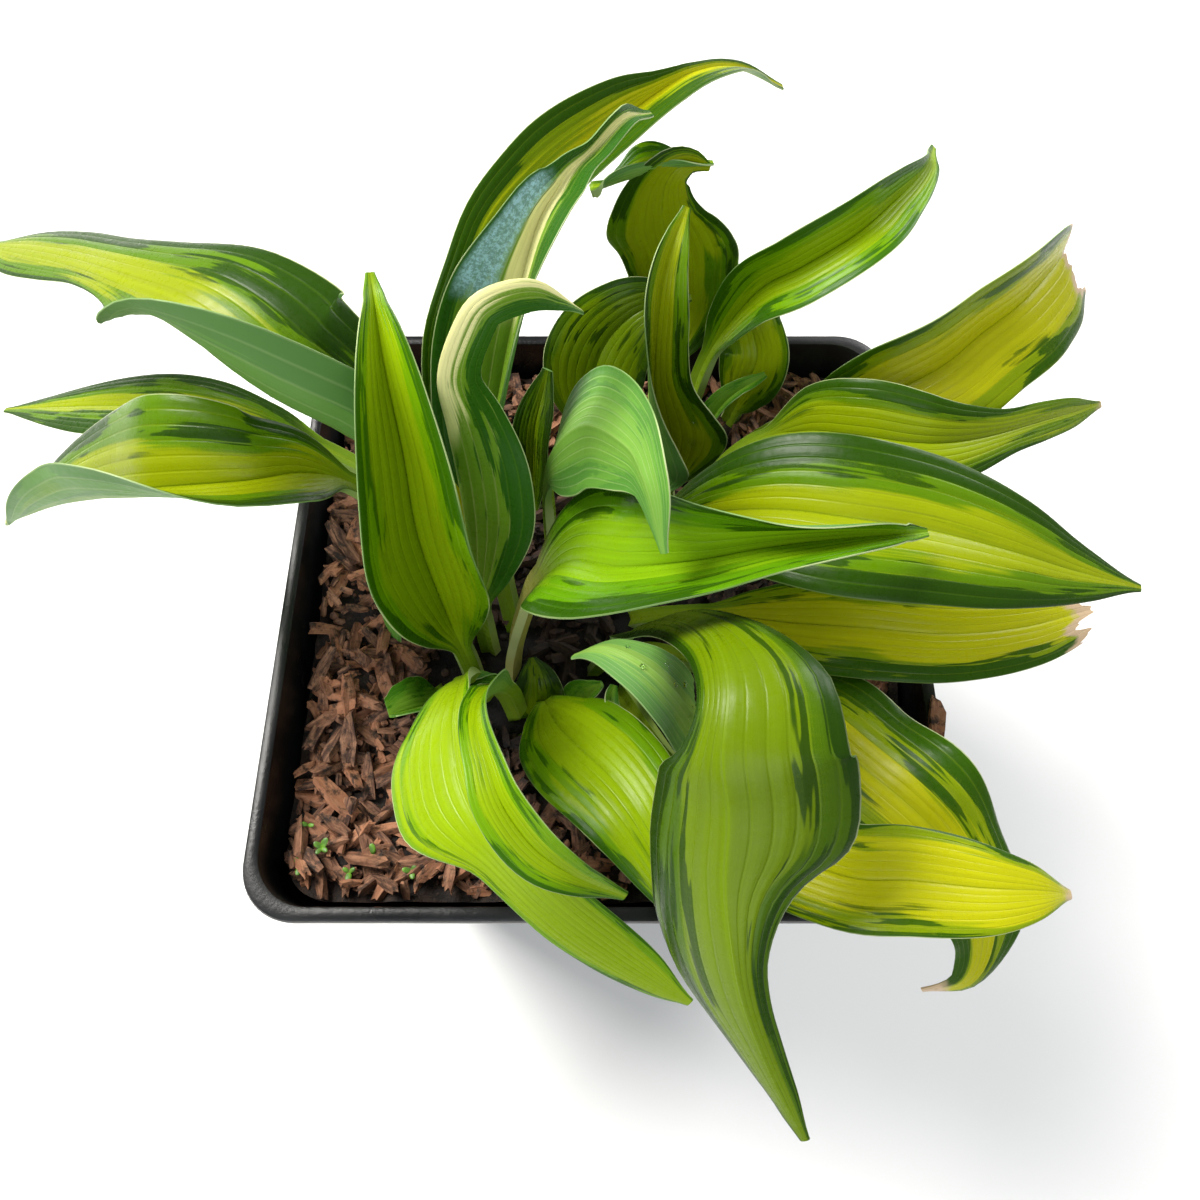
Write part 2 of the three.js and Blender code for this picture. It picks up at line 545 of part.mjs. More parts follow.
// The soil: it fills the pot below its uneven top, which chips of bark stand out of.
function soilGeometry() {
  const random = seeded(chipSeed);
  const inside = (z) => wallHalf(z) - wall - clearance;
  const foot = floorThickness + clearance;
  const shoulder = bandBottom - 1.5;
  const outlines = [ring(inside(foot), foot), ring(inside(shoulder), shoulder)];
  for (const share of [1, 0.94, 0.8, 0.64, 0.48, 0.32, 0.16]) {
    const level = share === 1 ? soilTop - 1.4 : soilTop;
    const outline = ring(inside(shoulder) * share, level);
    outlines.push(outline.map(([x, y, z]) => [x, y, z + soilBump * (random() - 0.5)]));
  }
  let soil = toSolid(loft(outlines));
  const stalks = Object.values(leaves).map((leaf) => stalkAt(leaf, soilTop));
  for (let made = 0; made < chipCount; ) {
    const place = new THREE.Vector3(random() - 0.5, random() - 0.5, 0).multiplyScalar(2 * chipReach);
    const chip = chipGeometry(random);
    if (stalks.some((stalk) => Math.hypot(stalk.x - place.x, stalk.y - place.y) < chipFree)) continue;
    chip.translate(place.x, place.y, soilTop + 0.9 * random());
    soil = soil.add(toSolid(chip));
    made++;
  }
  for (const leaf of Object.values(leaves)) soil = soil.subtract(toSolid(stalkHole(leaf)));
  const bodies = soil.decompose().sort((a, b) => b.volume() - a.volume());
  return toGeometry(bodies[0]);
}

const plant = new THREE.Group();
plant.name = "potted_hosta";

function addPiece(name, geometry, colour, roughness) {
  const material = new THREE.MeshStandardMaterial({ color: colour, roughness, metalness: 0 });
  const mesh = new THREE.Mesh(geometry, material);
  mesh.name = name;
  plant.add(mesh);
}

addPiece("pot", potGeometry(), potColour, 0.55);
addPiece("soil", soilGeometry(), soilColour, 0.95);
for (const [name, leaf] of Object.entries(leaves)) addPiece(name, leafGeometry(leaf), leaf.colour, 0.4);

export default plant;
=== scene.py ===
# Potted hosta: ribbed variegated leaves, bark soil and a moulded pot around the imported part
import math
import random

import bmesh
import bpy
from mathutils import Matrix, Vector, noise


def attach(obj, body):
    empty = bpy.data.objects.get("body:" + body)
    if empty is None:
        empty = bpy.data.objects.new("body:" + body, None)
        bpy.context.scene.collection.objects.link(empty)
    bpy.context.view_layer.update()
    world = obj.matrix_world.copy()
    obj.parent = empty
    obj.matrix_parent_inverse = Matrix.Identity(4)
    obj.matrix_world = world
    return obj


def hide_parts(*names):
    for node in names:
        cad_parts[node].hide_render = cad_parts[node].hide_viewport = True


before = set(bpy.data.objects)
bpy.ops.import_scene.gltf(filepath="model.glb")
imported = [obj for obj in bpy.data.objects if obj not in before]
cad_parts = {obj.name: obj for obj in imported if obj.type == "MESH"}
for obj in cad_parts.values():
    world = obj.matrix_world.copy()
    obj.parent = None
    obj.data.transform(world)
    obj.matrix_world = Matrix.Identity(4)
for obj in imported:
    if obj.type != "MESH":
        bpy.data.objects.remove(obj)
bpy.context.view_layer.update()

mm = 0.001


# Node materials

def newMaterial(name):
    material = bpy.data.materials.new(name)
    material.use_nodes = True
    tree = material.node_tree
    tree.nodes.clear()
    return material, tree


def addNode(tree, kind, inputs=None, **settings):
    node = tree.nodes.new(kind)
    for key, value in settings.items():
        setattr(node, key, value)
    for key, value in (inputs or {}).items():
        if isinstance(value, bpy.types.NodeSocket):
            tree.links.new(value, node.inputs[key])
        else:
            node.inputs[key].default_value = value
    return node


def maths(tree, operation, first, second=0.0):
    node = addNode(tree, "ShaderNodeMath", {0: first, 1: second}, operation=operation)
    return node.outputs[0]


def plus(tree, first, second):
    return maths(tree, "ADD", first, second)


def minus(tree, first, second):
    return maths(tree, "SUBTRACT", first, second)


def times(tree, first, second):
    return maths(tree, "MULTIPLY", first, second)


def ramp(tree, value, low, high, to=(0.0, 1.0)):  # a smooth step from low to high
    node = addNode(tree, "ShaderNodeMapRange", {"Value": value, "From Min": low, "From Max": high,
                   "To Min": to[0], "To Max": to[1]}, interpolation_type="SMOOTHSTEP")
    return node.outputs["Result"]


def mixColour(tree, share, first, second, blend="MIX"):
    node = addNode(tree, "ShaderNodeMix", data_type="RGBA", blend_type=blend)
    for socket, value in ((node.inputs[0], share), (node.inputs[6], first), (node.inputs[7], second)):
        if isinstance(value, bpy.types.NodeSocket):
            tree.links.new(value, socket)
        else:
            socket.default_value = value if isinstance(value, float) else (*value, 1.0)
    return node.outputs[2]


def shaded(tree, colour, shade):  # the colour times a brightness
    return mixColour(tree, 1.0, colour, joinXyz(tree, shade, shade, shade), "MULTIPLY")


def joinXyz(tree, x, y, z):
    return addNode(tree, "ShaderNodeCombineXYZ", {0: x, 1: y, 2: z}).outputs[0]


def noiseAt(tree, vector, scale, detail=2.0, rough=0.5):
    inputs = {"Vector": vector, "Scale": scale, "Detail": detail, "Roughness": rough}
    return addNode(tree, "ShaderNodeTexNoise", inputs).outputs[0]


def objectPlace(tree):
    return addNode(tree, "ShaderNodeTexCoord").outputs["Object"]


def mapParts(tree, name):  # the two numbers that a UV map holds
    place = addNode(tree, "ShaderNodeUVMap", uv_map=name).outputs[0]
    split = addNode(tree, "ShaderNodeSeparateXYZ", {0: place})
    return split.outputs[0], split.outputs[1]


def bumpFrom(tree, height, strength, distance):
    node = addNode(tree, "ShaderNodeBump", {"Height": height, "Strength": strength, "Distance": distance})
    return node.outputs[0]


def addSurface(tree, colour, rough, more=None):
    inputs = {"Base Color": colour, "Roughness": rough, **(more or {})}
    return addNode(tree, "ShaderNodeBsdfPrincipled", inputs).outputs[0]


def finishMaterial(tree, shader):
    output = addNode(tree, "ShaderNodeOutputMaterial")
    tree.links.new(shader, output.inputs[0])


# Leaf materials. The map "leaf" runs from -1 to 1 across a leaf and from 0 at the blade's
# start to 1 at its tip; "look" holds the share of its pale middle and a number of its own,
# "wear" where its dry tip begins and how flecked it is.
leafPaint = {
    "green": dict(middle=(0.28, 0.34, 0.002), streak=(0.095, 0.2, 0.001), margin=(0.02, 0.062, 0.001)),
    "bright": dict(middle=(0.25, 0.38, 0.002), streak=(0.14, 0.3, 0.001), margin=(0.035, 0.12, 0.001)),
    "gold": dict(middle=(0.5, 0.5, 0.004), streak=(0.22, 0.31, 0.002), margin=(0.032, 0.095, 0.001)),
    "olive": dict(middle=(0.25, 0.33, 0.002), streak=(0.1, 0.19, 0.001), margin=(0.025, 0.075, 0.001)),
    "dark": dict(middle=(0.125, 0.2, 0.001), streak=(0.055, 0.12, 0.001), margin=(0.016, 0.05, 0.001),
                 patchReach=0.4),
    "level": dict(middle=(0.2, 0.38, 0.004), streak=(0.1, 0.26, 0.002), margin=(0.025, 0.085, 0.001),
                  stalk=(0.66, 0.6, 0.16)),
    "cream": dict(middle=(0.86, 0.82, 0.38), streak=(0.16, 0.3, 0.02), margin=(0.03, 0.12, 0.008),
                  paleFrom=(0.5, 0.62)),
    "young": dict(middle=(0.17, 0.34, 0.025), streak=(0.11, 0.28, 0.015), margin=(0.05, 0.18, 0.006),
                  bloomShare=0.35),
}
# rim is the pale colour of the painted highlight along the leaf edges, and of the veins underneath
leafFinish = dict(
    veins=6, veinWidth=0.13, veinShare=0.2, midribShare=0.14, stalk=(0.24, 0.38, 0.02), stalkShare=0.85,
    laneSpread=0.22, driftSpread=1.1, tearSpread=0.3, marginAfter=0.06, marginDrift=0.42,
    patches=(0.57, 0.595), patchReach=0.12, bloom=(0.15, 0.35, 0.085), bloomShare=0.66,
    underVeinShare=0.12, rim=(0.62, 0.7, 0.36), dry=(0.62, 0.46, 0.29), fleck=(0.05, 0.04, 0.012),
    gloss=0.27, underGloss=0.42, shine=0.17, through=0.2)
# where the painted bluish reflection of the sky lies, across and along the cream leaves
skyReflection = dict(colour=(0.46, 0.74, 0.86), inner=(-0.3, -0.42), outer=(-0.98, -0.86), start=(0.45, 0.5),
                 end=(0.71, 0.65))


def leafPlace(tree):  # what the maps of a leaf say, by name
    at = {}
    at["across"], at["along"] = mapParts(tree, "leaf")
    at["middle"], at["own"] = mapParts(tree, "look")
    at["dryStart"], at["flecks"] = mapParts(tree, "wear")
    at["out"] = maths(tree, "ABSOLUTE", at["across"])
    at["half"] = maths(tree, "SIGN", at["across"])
    at["lanes"] = times(tree, at["out"], float(leafFinish["veins"]))
    return at


def leafNoises(tree, at):  # one draw per lane between two veins, a slow drift, fine streaks and patches
    out, own, half = at["out"], at["own"], at["half"]
    lane = maths(tree, "FLOOR", at["lanes"])
    laneSeed = joinXyz(tree, plus(tree, lane, times(tree, own, 7.0)), half, own)
    laneRandom = addNode(tree, "ShaderNodeTexWhiteNoise", {0: laneSeed}, noise_dimensions="3D").outputs[0]
    ownHalf = plus(tree, times(tree, own, 3.7), half)
    wander = joinXyz(tree, times(tree, out, 1.5), times(tree, at["along"], 1.9), ownHalf)
    drift = noiseAt(tree, wander, 1.6, 2.0, 0.5)
    fine = joinXyz(tree, times(tree, at["across"], 17.0), times(tree, at["along"], 2.6),
                   times(tree, own, 5.3))
    streaks = noiseAt(tree, fine, 1.0, 3.0, 0.6)
    patchPlace = joinXyz(tree, plus(tree, times(tree, lane, 1.7), times(tree, out, 4.0)),
                         times(tree, at["along"], 3.4), times(tree, ownHalf, 2.3))
    patches = noiseAt(tree, patchPlace, 1.0, 3.0, 0.6)
    return laneRandom, drift, streaks, patches


def variegation(tree, at, colours):  # the middle ends at another width in each lane, torn along the leaf
    f = leafFinish
    laneRandom, drift, streaks, patches = leafNoises(tree, at)
    edge = at["middle"]
    for source, spread in ((laneRandom, "laneSpread"), (drift, "driftSpread"), (streaks, "tearSpread")):
        edge = plus(tree, edge, times(tree, minus(tree, source, 0.5), f[spread]))
    past = minus(tree, at["out"], edge)
    inStreak = ramp(tree, past, -0.07, 0.05)
    marginPlace = minus(tree, past, plus(tree, f["marginAfter"], times(tree, drift, f["marginDrift"])))
    inMargin = ramp(tree, marginPlace, -0.012, 0.02)
    patchFrom = -colours.get("patchReach", f["patchReach"])
    nearEdge = ramp(tree, past, patchFrom, patchFrom + 0.12)
    inPatch = times(tree, ramp(tree, patches, *f["patches"]), nearEdge)
    dark = maths(tree, "MAXIMUM", inMargin, times(tree, inPatch, 0.9))
    middle = colours["middle"]
    if "paleFrom" in colours:  # pale only in the upper part of the leaf
        upper = ramp(tree, plus(tree, at["along"], times(tree, drift, 0.2)), *colours["paleFrom"])
        middle = mixColour(tree, upper, colours["streak"], middle)
    colour = mixColour(tree, inStreak, middle, colours["streak"])
    colour = mixColour(tree, dark, colour, colours["margin"])
    colour = shaded(tree, colour, ramp(tree, streaks, 0.3, 0.72, (0.93, 1.07)))
    return colour, dark, streaks


def veinsAndStalk(tree, at, colours, colour, dark):
    f = leafFinish
    lanePlace = maths(tree, "FRACT", at["lanes"])
    fromVein = maths(tree, "MINIMUM", lanePlace, minus(tree, 1.0, lanePlace))
    vein = ramp(tree, fromVein, 0.0, f["veinWidth"], (1.0, 0.0))
    veinColour = mixColour(tree, dark, tuple(0.9 * c for c in colours["middle"]), colours["streak"])
    colour = mixColour(tree, times(tree, vein, f["veinShare"]), colour, veinColour)
    midrib = ramp(tree, at["out"], 0.01, 0.045, (1.0, 0.0))
    colour = mixColour(tree, times(tree, midrib, f["midribShare"]), colour, f["stalk"])
    inStalk = ramp(tree, at["along"], -0.1, 0.12, (1.0, 0.0))
    colour = mixColour(tree, times(tree, inStalk, f["stalkShare"]), colour, colours.get("stalk", f["stalk"]))
    return colour, vein, inStalk


def paleUnderside(tree, colours, colour, vein, inStalk):
    f = leafFinish
    bloom = times(tree, colours.get("bloomShare", f["bloomShare"]), minus(tree, 1.0, inStalk))
    colour = mixColour(tree, bloom, colour, f["bloom"])
    return mixColour(tree, times(tree, vein, f["underVeinShare"]), colour, f["rim"])


def paintedRimHighlight(tree, at, colour):
    # a painted highlight: a thin pale line along the edge, stronger in places
    rim = ramp(tree, at["out"], 0.982, 0.992)
    rimHighlightNoise = noiseAt(tree, joinXyz(tree, at["along"], at["half"], at["own"]), 3.2, 1.0)
    highlightPlaces = ramp(tree, rimHighlightNoise, 0.42, 0.6, (0.1, 0.75))
    return mixColour(tree, times(tree, rim, highlightPlaces), colour, leafFinish["rim"])


def addPaintedReflection(tree, at, place, colour):  # painted reflection of the sky: a bluish, broken patch beside the pale middle
    w = skyReflection
    reflectionMask = times(tree, ramp(tree, at["across"], *w["inner"]), ramp(tree, at["across"], *w["outer"]))
    reflectionMask = times(tree, reflectionMask, ramp(tree, at["along"], *w["start"]))
    reflectionMask = times(tree, reflectionMask, ramp(tree, at["along"], *w["end"]))
    sparkle = ramp(tree, noiseAt(tree, place, 1500.0, 4.0, 0.8), 0.42, 0.6, (0.45, 1.0))
    return mixColour(tree, times(tree, reflectionMask, sparkle), colour, w["colour"])


def dryTipAndFlecks(tree, at, place, colour):
    patch = noiseAt(tree, place, 240.0, 3.0, 0.6)
    dryPlace = minus(tree, plus(tree, at["along"], times(tree, patch, 0.1)), at["dryStart"])
    colour = mixColour(tree, ramp(tree, dryPlace, 0.03, 0.07), colour, leafFinish["dry"])
    fleck = ramp(tree, plus(tree, noiseAt(tree, place, 620.0, 1.0), at["flecks"]), 0.83, 0.88)
    return mixColour(tree, times(tree, fleck, 0.8), colour, leafFinish["fleck"])


def leafMaterial(kind, under):
    f, colours = leafFinish, leafPaint[kind]
    material, tree = newMaterial("leaf_" + kind + ("_under" if under else "_upper"))
    at = leafPlace(tree)
    colour, dark, streaks = variegation(tree, at, colours)
    colour, vein, inStalk = veinsAndStalk(tree, at, colours, colour, dark)
    if under:
        colour = paleUnderside(tree, colours, colour, vein, inStalk)
    colour = paintedRimHighlight(tree, at, colour)
    place = objectPlace(tree)
    # the cream leaves' upper side gets a painted reflection of the sky
    if kind == "cream" and not under:
        colour = addPaintedReflection(tree, at, place, colour)
    colour = dryTipAndFlecks(tree, at, place, colour)

    # a satin skin with shallow ribs and cells
    skin = noiseAt(tree, place, 900.0, 3.0, 0.6)
    height = plus(tree, times(tree, vein, -0.4), times(tree, streaks, 0.25))
    height = plus(tree, height, times(tree, skin, 0.3))
    bump = bumpFrom(tree, height, 0.4, 0.0003)
    gloss = f["underGloss" if under else "gloss"]
    rough = ramp(tree, skin, 0.2, 0.8, (gloss - 0.05, gloss + 0.12))
    surface = addSurface(tree, colour, rough, {"Specular IOR Level": f["shine"], "Normal": bump})
    glow = addNode(tree, "ShaderNodeBsdfTranslucent", {"Color": colour, "Normal": bump}).outputs[0]
    mix = addNode(tree, "ShaderNodeMixShader", {0: f["through"], 1: surface, 2: glow})
    finishMaterial(tree, mix.outputs[0])
    return material


def waterMaterial():
    material, tree = newMaterial("water_drop")
    surface = addSurface(tree, (0.9, 0.97, 0.9, 1.0), 0.03, {"IOR": 1.33, "Transmission Weight": 1.0})
    finishMaterial(tree, surface)
    return material


upperOf = {kind: leafMaterial(kind, False) for kind in leafPaint}
underOf = {kind: leafMaterial(kind, True) for kind in leafPaint}
water = waterMaterial()
print("leaf materials made")


# The leaves, by the part's own sizes in millimetres and degrees. A spine's points run from the
# soil to the tip. Its roll and the fold angles of its halves are spread evenly along the whole
# leaf, its widths, as shares of its greatest half width, along the blade.
leafShapes = {
    "leaf_left_long": dict(
        spine=[[-26, -2, 84], [-27, 0, 100], [-30, 6, 120], [-36, 10, 134], [-41, 9, 145], [-49, 10, 153],
               [-61, 20, 156], [-77, 32, 150], [-94, 45, 141], [-121, 63, 127]],
        blade=0.28, half=17, left=[30, 40, 70, 106, 118, 80, 22, 5, 0, 0, 0], right=[30, 20, 5, 0, 0, 0],
        curl=[0, -20],
        profile=[0, 0.85, 1.14, 0.98, 0.74, 0.58, 0.52, 0.38, 0],
        profileLeft=[0, 0.75, 1.12, 0.72, 0.22, 0.12, 0.2, 0.22, 0]),
    "leaf_left_low": dict(
        spine=[[-32, 2, 84], [-34, 6, 100], [-39, 10, 116], [-44, 10, 126], [-49, 7, 134], [-56, 3, 138],
               [-70, 3, 136], [-83, 7, 128], [-98, 11, 118], [-116, 14, 105]],
        blade=0.34, half=15, left=[30, 30, 45, 105, 95, 70], right=[30, 20, 10, 10, 0, 0], curl=[0, -20]),
    "leaf_left_hidden": dict(
        spine=[[-31, 9, 84], [-33, 14, 98], [-43, 21, 108], [-58, 27, 114], [-72, 30, 117],
               [-86, 33, 116], [-101, 37, 111], [-127, 44, 100]],
        blade=0.36, half=9, left=[20, 10], right=[20, 10], curl=[-20, -20]),
    "leaf_left_boat": dict(
        spine=[[-25, -14, 84], [-25, -13, 98], [-28, -8, 114], [-30, -3, 131], [-30, 3, 146],
               [-31, 10, 157], [-33, 22, 163]],
        heading=110, blade=0.22, half=14, left=[30, 50, 50, 50], right=[30, 50, 60, 50], curl=[0, 0]),
    "leaf_left_hook": dict(
        spine=[[-22, -7, 84], [-22, -7, 98], [-23, -1, 116], [-23, 4, 134], [-23, 6, 148], [-23, 7, 158],
               [-20, 8, 167], [-16, 10, 172], [-9, 13, 171], [-3, 15, 163]],
        heading=70, blade=0.2, half=12, roll=[0, 0, 0, 10, 50, 65, 70],
        left=[30, 0, -60, -75, -80, -60, -30, -40, -60], right=[30, 30, 20, 0, -20, -80, -88, -80, -60],
        curl=[0, 0],
        profile=[0, 0.6, 1, 1, 0.7, 0.45, 0.4, 0.3, 0]),
    "leaf_centre_tall": dict(
        spine=[[-15, -5, 84], [-17.5, -2, 93.5], [-20, 8.5, 108], [-20, 16, 124], [-17, 23, 137],
               [-13.5, 29, 149.5], [-10, 36, 158], [-7, 41.5, 160], [-5, 45, 160.5], [-2, 50, 159.5],
               [3, 56, 160.5], [8, 62.5, 156.5]],
        heading=80, blade=0.28, half=12, left=[30, 20, 15, 15, 15, 20, 60, 80, 60],
        right=[30, 40, 75, 75, 70, 30, 30], curl=[0, 0],
        profile=[0, 0.6, 0.95, 1, 0.95, 0.7, 0.3, 0.2, 0],
        profileLeft=[0, 0.6, 0.9, 1, 0.88, 0.55, 0.17, 0.15, 0]),
    "leaf_top_arch": dict(
        spine=[[-22, 1, 84], [-24.5, 9, 97.5], [-26, 19, 114], [-25, 26, 128], [-24, 32, 137],
               [-20, 40, 144], [-16, 47, 148], [-8, 55, 151], [0, 63, 152], [8, 72, 152], [16, 80, 151],
               [25, 87, 147], [35, 91, 140]],
        heading=80, blade=0.12, half=10, left=[30, 20, 20, 30, 40, 60, 70],
        right=[30, 30, 30, 30, 40, 40], curl=[0, 0],
        profile=[0, 0.5, 0.65, 0.65, 0.65, 0.65, 0.65, 0.52, 0],
        profileLeft=[0, 0.3, 0.5, 0.55, 0.6, 0.6, 0.6, 0.65, 0.75, 0.85, 0.8, 0.62, 0.3, 0.1, 0.06, 0.05,
                     0]),
    "leaf_top_curl": dict(
        spine=[[10, 41, 84], [11, 45.5, 93.5], [14, 56, 107], [14, 60, 118], [12.5, 61, 129],
               [11, 60.5, 137], [11, 61, 142.5], [12.5, 61.5, 146], [15.5, 62.5, 147], [19, 62.5, 146]],
        heading=90, blade=0.3, half=13.5, left=[30, 15, 10, 10, 20], right=[30, 15, 10], curl=[-20, -20],
        profile=[0, 0.5, 0.88, 0.97, 1, 0.75, 0.42, 0.22, 0],
        profileLeft=[0, 0.4, 0.5, 0.55, 0.65, 0.8, 0.6, 0.3, 0]),
    "leaf_top_point": dict(
        spine=[[18, 42, 84], [19, 45.5, 99], [22.5, 48.5, 115], [29, 49.5, 129.5], [36, 48.5, 137],
               [44.5, 51, 142], [51.5, 58.5, 141.5], [59, 68, 140], [63, 77, 138]],
        blade=0.3, half=8, left=[30, 45, 55, 55], right=[30, 30, 30], curl=[0, 0]),
    "leaf_centre_small": dict(
        spine=[[13, 17, 84], [13, 21, 98], [11, 26, 116], [9, 27, 132], [9, 29, 145], [10, 33, 153],
               [13, 40, 158]],
        heading=90, blade=0.25, half=13, left=[30, 110, 110, 70, 30], right=[30, 20, 20, 30, 30],
        curl=[0, 0],
        profile=[0, 0.7, 1, 0.8, 0.5, 0.4, 0.35, 0.2, 0]),
    "leaf_right_torn": dict(
        spine=[[26, 33, 84], [30, 37, 95], [40, 37, 107], [48, 34, 115], [55, 34, 120], [63, 36, 125],
               [70, 41, 128], [77, 46, 130], [85, 55, 129], [90, 62, 127]],
        blade=0.3, half=13, roll=[0, -10, -20], left=[30, 40, 60, 50], right=[30, 10, 0], curl=[0, -20],
        profile=[0, 0.5, 0.85, 1, 1, 1, 1, 0.95, 0.7],
        profileLeft=[0, 0.5, 0.85, 1, 1, 0.9, 0.75, 0.6, 0.4]),
    "leaf_right_slim": dict(
        spine=[[22, 28, 84], [24, 30, 96], [30, 30, 108], [38, 27, 117], [46, 22, 123], [55, 19, 125],
               [62, 19, 125], [71, 22, 123], [83, 28, 119], [98, 36, 113]],
        blade=0.28, half=10, left=[30, 30, 30], right=[30, 20, 10], curl=[-20, -20],
        profile=[0, 0.8, 1, 0.9, 0.6, 0.35, 0.3, 0.22, 0]),
    "leaf_right_big": dict(
        spine=[[1, 9, 84], [4, 9, 98], [10, 7, 116], [18, 3, 128], [28, -1, 136], [39, -5, 140],
               [50, -7, 140], [63, -9, 137], [75, -10, 132], [88, -10, 126]],
        blade=0.28, half=13, left=[30, 30, 20, 10], right=[30, 20, 10], curl=[-20, -30]),
    "leaf_middle_level": dict(
        spine=[[-17, -12, 84], [-16, -10, 98], [-13, -8, 112], [-10, -8, 124], [-5, -9, 134],
               [3, -14, 142], [13, -16, 148], [23, -15, 150], [35, -13, 149], [47, -10, 145]],
        heading=-5, blade=0.36, half=13, stalk=3.2, left=[30, 30, 0, 25, 95, 80], right=[30, 30, 40, 40],
        curl=[0, 0],
        profile=[0, 0.75, 1, 0.95, 0.75, 0.55, 0.4, 0.22, 0]),
    "leaf_middle_curl": dict(
        spine=[[-9, 5, 84], [-10, 8.5, 95.5], [-10, 9, 112.5], [-9, 10, 132], [-3, 6, 148.5],
               [3, -3.5, 158], [5.5, -11.5, 161.5], [8, -19, 156]],
        heading=180, blade=0.4, half=10, left=[30, 20, 20], right=[30, 20, 20], curl=[-20, -20],
        profile=[0, 0.7, 1, 1, 0.9, 0.75, 0.5, 0.25, 0],
        profileLeft=[0, 0.3, 0.8, 1, 0.9, 0.75, 0.5, 0.25, 0]),
    "leaf_right_low": dict(
        spine=[[4, 1, 84], [9, -2, 95], [20, -6, 106], [33, -11, 114], [44, -14, 119], [57, -16, 121],
               [71, -14, 119], [87, -8, 113]],
        blade=0.28, half=9, left=[30, 20, 10], right=[30, 20, 10, 10], curl=[-20, -20],
        profile=[0, 0.5, 0.9, 1, 0.95, 0.85, 0.75, 0.6, 0.4]),
    "leaf_right_waved": dict(
        spine=[[4, -6, 84], [10, -8.5, 93], [21, -16.5, 103.5], [33, -27, 112.5], [40, -37, 119],
               [47, -45, 122], [52, -50, 120], [57, -57, 116], [59, -64, 110], [57, -69, 106],
               [51, -70, 103]],
        blade=0.24, half=12, wave=[1.2, 5], left=[30, 20, 30, 30], right=[30, 10, -10, -20],
        curl=[-20, -20]),
    "leaf_right_gold": dict(
        spine=[[3, -13, 84], [5, -21, 98], [13, -38, 112], [24, -50, 122], [34, -56, 129], [42, -57, 132],
               [52, -58, 132], [61, -58, 129], [67, -58, 125]],
        blade=0.34, half=7.5, left=[30, 20, 10], right=[30, 20, 10], curl=[-20, -20],
        profile=[0, 0.6, 0.9, 1, 1, 1, 0.85, 0.5, 0]),
    "leaf_front_big": dict(
        spine=[[-2, -11, 84], [0, -13, 98], [4, -15, 116], [10, -20, 136], [14, -28, 150], [15, -37, 157],
               [14, -46, 156], [15, -52, 151], [15, -59, 145], [16, -66, 140], [18, -73, 134],
               [22, -81, 127], [27, -89, 121]],
        blade=0.2, half=16, left=[30, 20, 0, 0], right=[30, 10, -10, -30, -20], curl=[-30, -30],
        profile=[0, 0.15, 0.2, 0.2, 0.2, 0.2, 0.2, 0.22, 0.3, 0.72, 0.9, 1.02, 1.05, 0.85, 0.42, 0.15, 0],
        profileLeft=[0, 0.12, 0.18, 0.22, 0.25, 0.32, 0.5, 0.78, 0.96, 1.03, 0.97, 0.5, 0.25, 0.18, 0.15,
                     0.1, 0]),
    "leaf_front_left": dict(
        spine=[[-22, -17.5, 84], [-22.5, -18, 100], [-23, -21, 113], [-23, -27, 123], [-22.5, -34, 129],
               [-20.5, -43, 132], [-17, -50, 133], [-12, -56, 131], [-6, -61, 127], [2, -66, 121],
               [13, -72, 113]],
        blade=0.3, half=13, left=[30, 10, 0], right=[30, 10, 0, 0], curl=[0, -20],
        profile=[0, 0.35, 0.62, 0.82, 0.95, 1, 0.97, 0.7, 0.36, 0.28, 0.28, 0.3, 0.3, 0.28, 0.23, 0.15, 0],
        profileLeft=[0, 0.12, 0.2, 0.3, 0.34, 0.36, 0.34, 0.24, 0]),
    "leaf_front_inner": dict(
        spine=[[-10, -16, 84], [-10.5, -20, 96], [-8, -27, 106], [-4, -33, 113], [2, -40, 118],
               [6.5, -47, 120], [11, -56, 118], [15, -63, 112]],
        blade=0.2, half=10, left=[30, 20, 10], right=[30, 10, 0], curl=[-20, -20]),
    "leaf_back_dark": dict(
        spine=[[2, 32, 84], [0, 37, 96], [-2, 42, 108], [0, 45, 118], [5, 47, 125], [11, 49, 127],
               [17, 52, 125]],
        blade=0.25, half=11, left=[30, 30, 30], right=[30, 10, 10], curl=[-20, -20]),
    "leaf_back_low": dict(
        spine=[[25, 45, 84], [28, 46, 94], [30, 47, 103], [32, 50, 110], [31, 57, 114], [39, 65, 113]],
        blade=0.3, half=8, left=[30, 20, 10], right=[30, 30, 20], curl=[-20, -20]),
    "leaf_young_left": dict(
        spine=[[-31, -13, 84], [-31, -17, 92], [-32, -21, 98], [-34, -23, 102], [-38, -25, 104]],
        blade=0.42, half=6, left=[30, 40], right=[30, 40], curl=[0, 0],
        profile=[0, 0.6, 0.9, 1, 1, 1, 0.9, 0.8, 0.5]),
    "leaf_young_front": dict(
        spine=[[-4, -21, 84], [-4, -22, 94], [-2.5, -21, 102], [0, -20, 107]],
        blade=0.45, half=5, left=[30, 40], right=[30, 40], curl=[0, 0]),
    "leaf_young_back": dict(
        spine=[[20, 34, 84], [19, 34, 93], [22, 38, 102], [26, 41, 108], [33, 44, 112]],
        blade=0.4, half=3.5, left=[50, 50], right=[50, 50], curl=[0, 0]),
    "leaf_front_flap": dict(
        spine=[[8, -16, 84], [9, -19, 98], [11, -25, 112], [13.5, -31, 123], [14, -35, 132],
               [12, -35.5, 140], [9, -34.5, 147], [5, -32, 150], [0, -29, 148], [-4, -28, 142]],
        heading=0, blade=0.4, half=6.5, left=[30, 20, 20], right=[30, 20, 20], curl=[-20, -20],
        profile=[0, 0.7, 1, 1, 1, 0.85, 0.6, 0.3, 0]),
    "leaf_front_slim": dict(
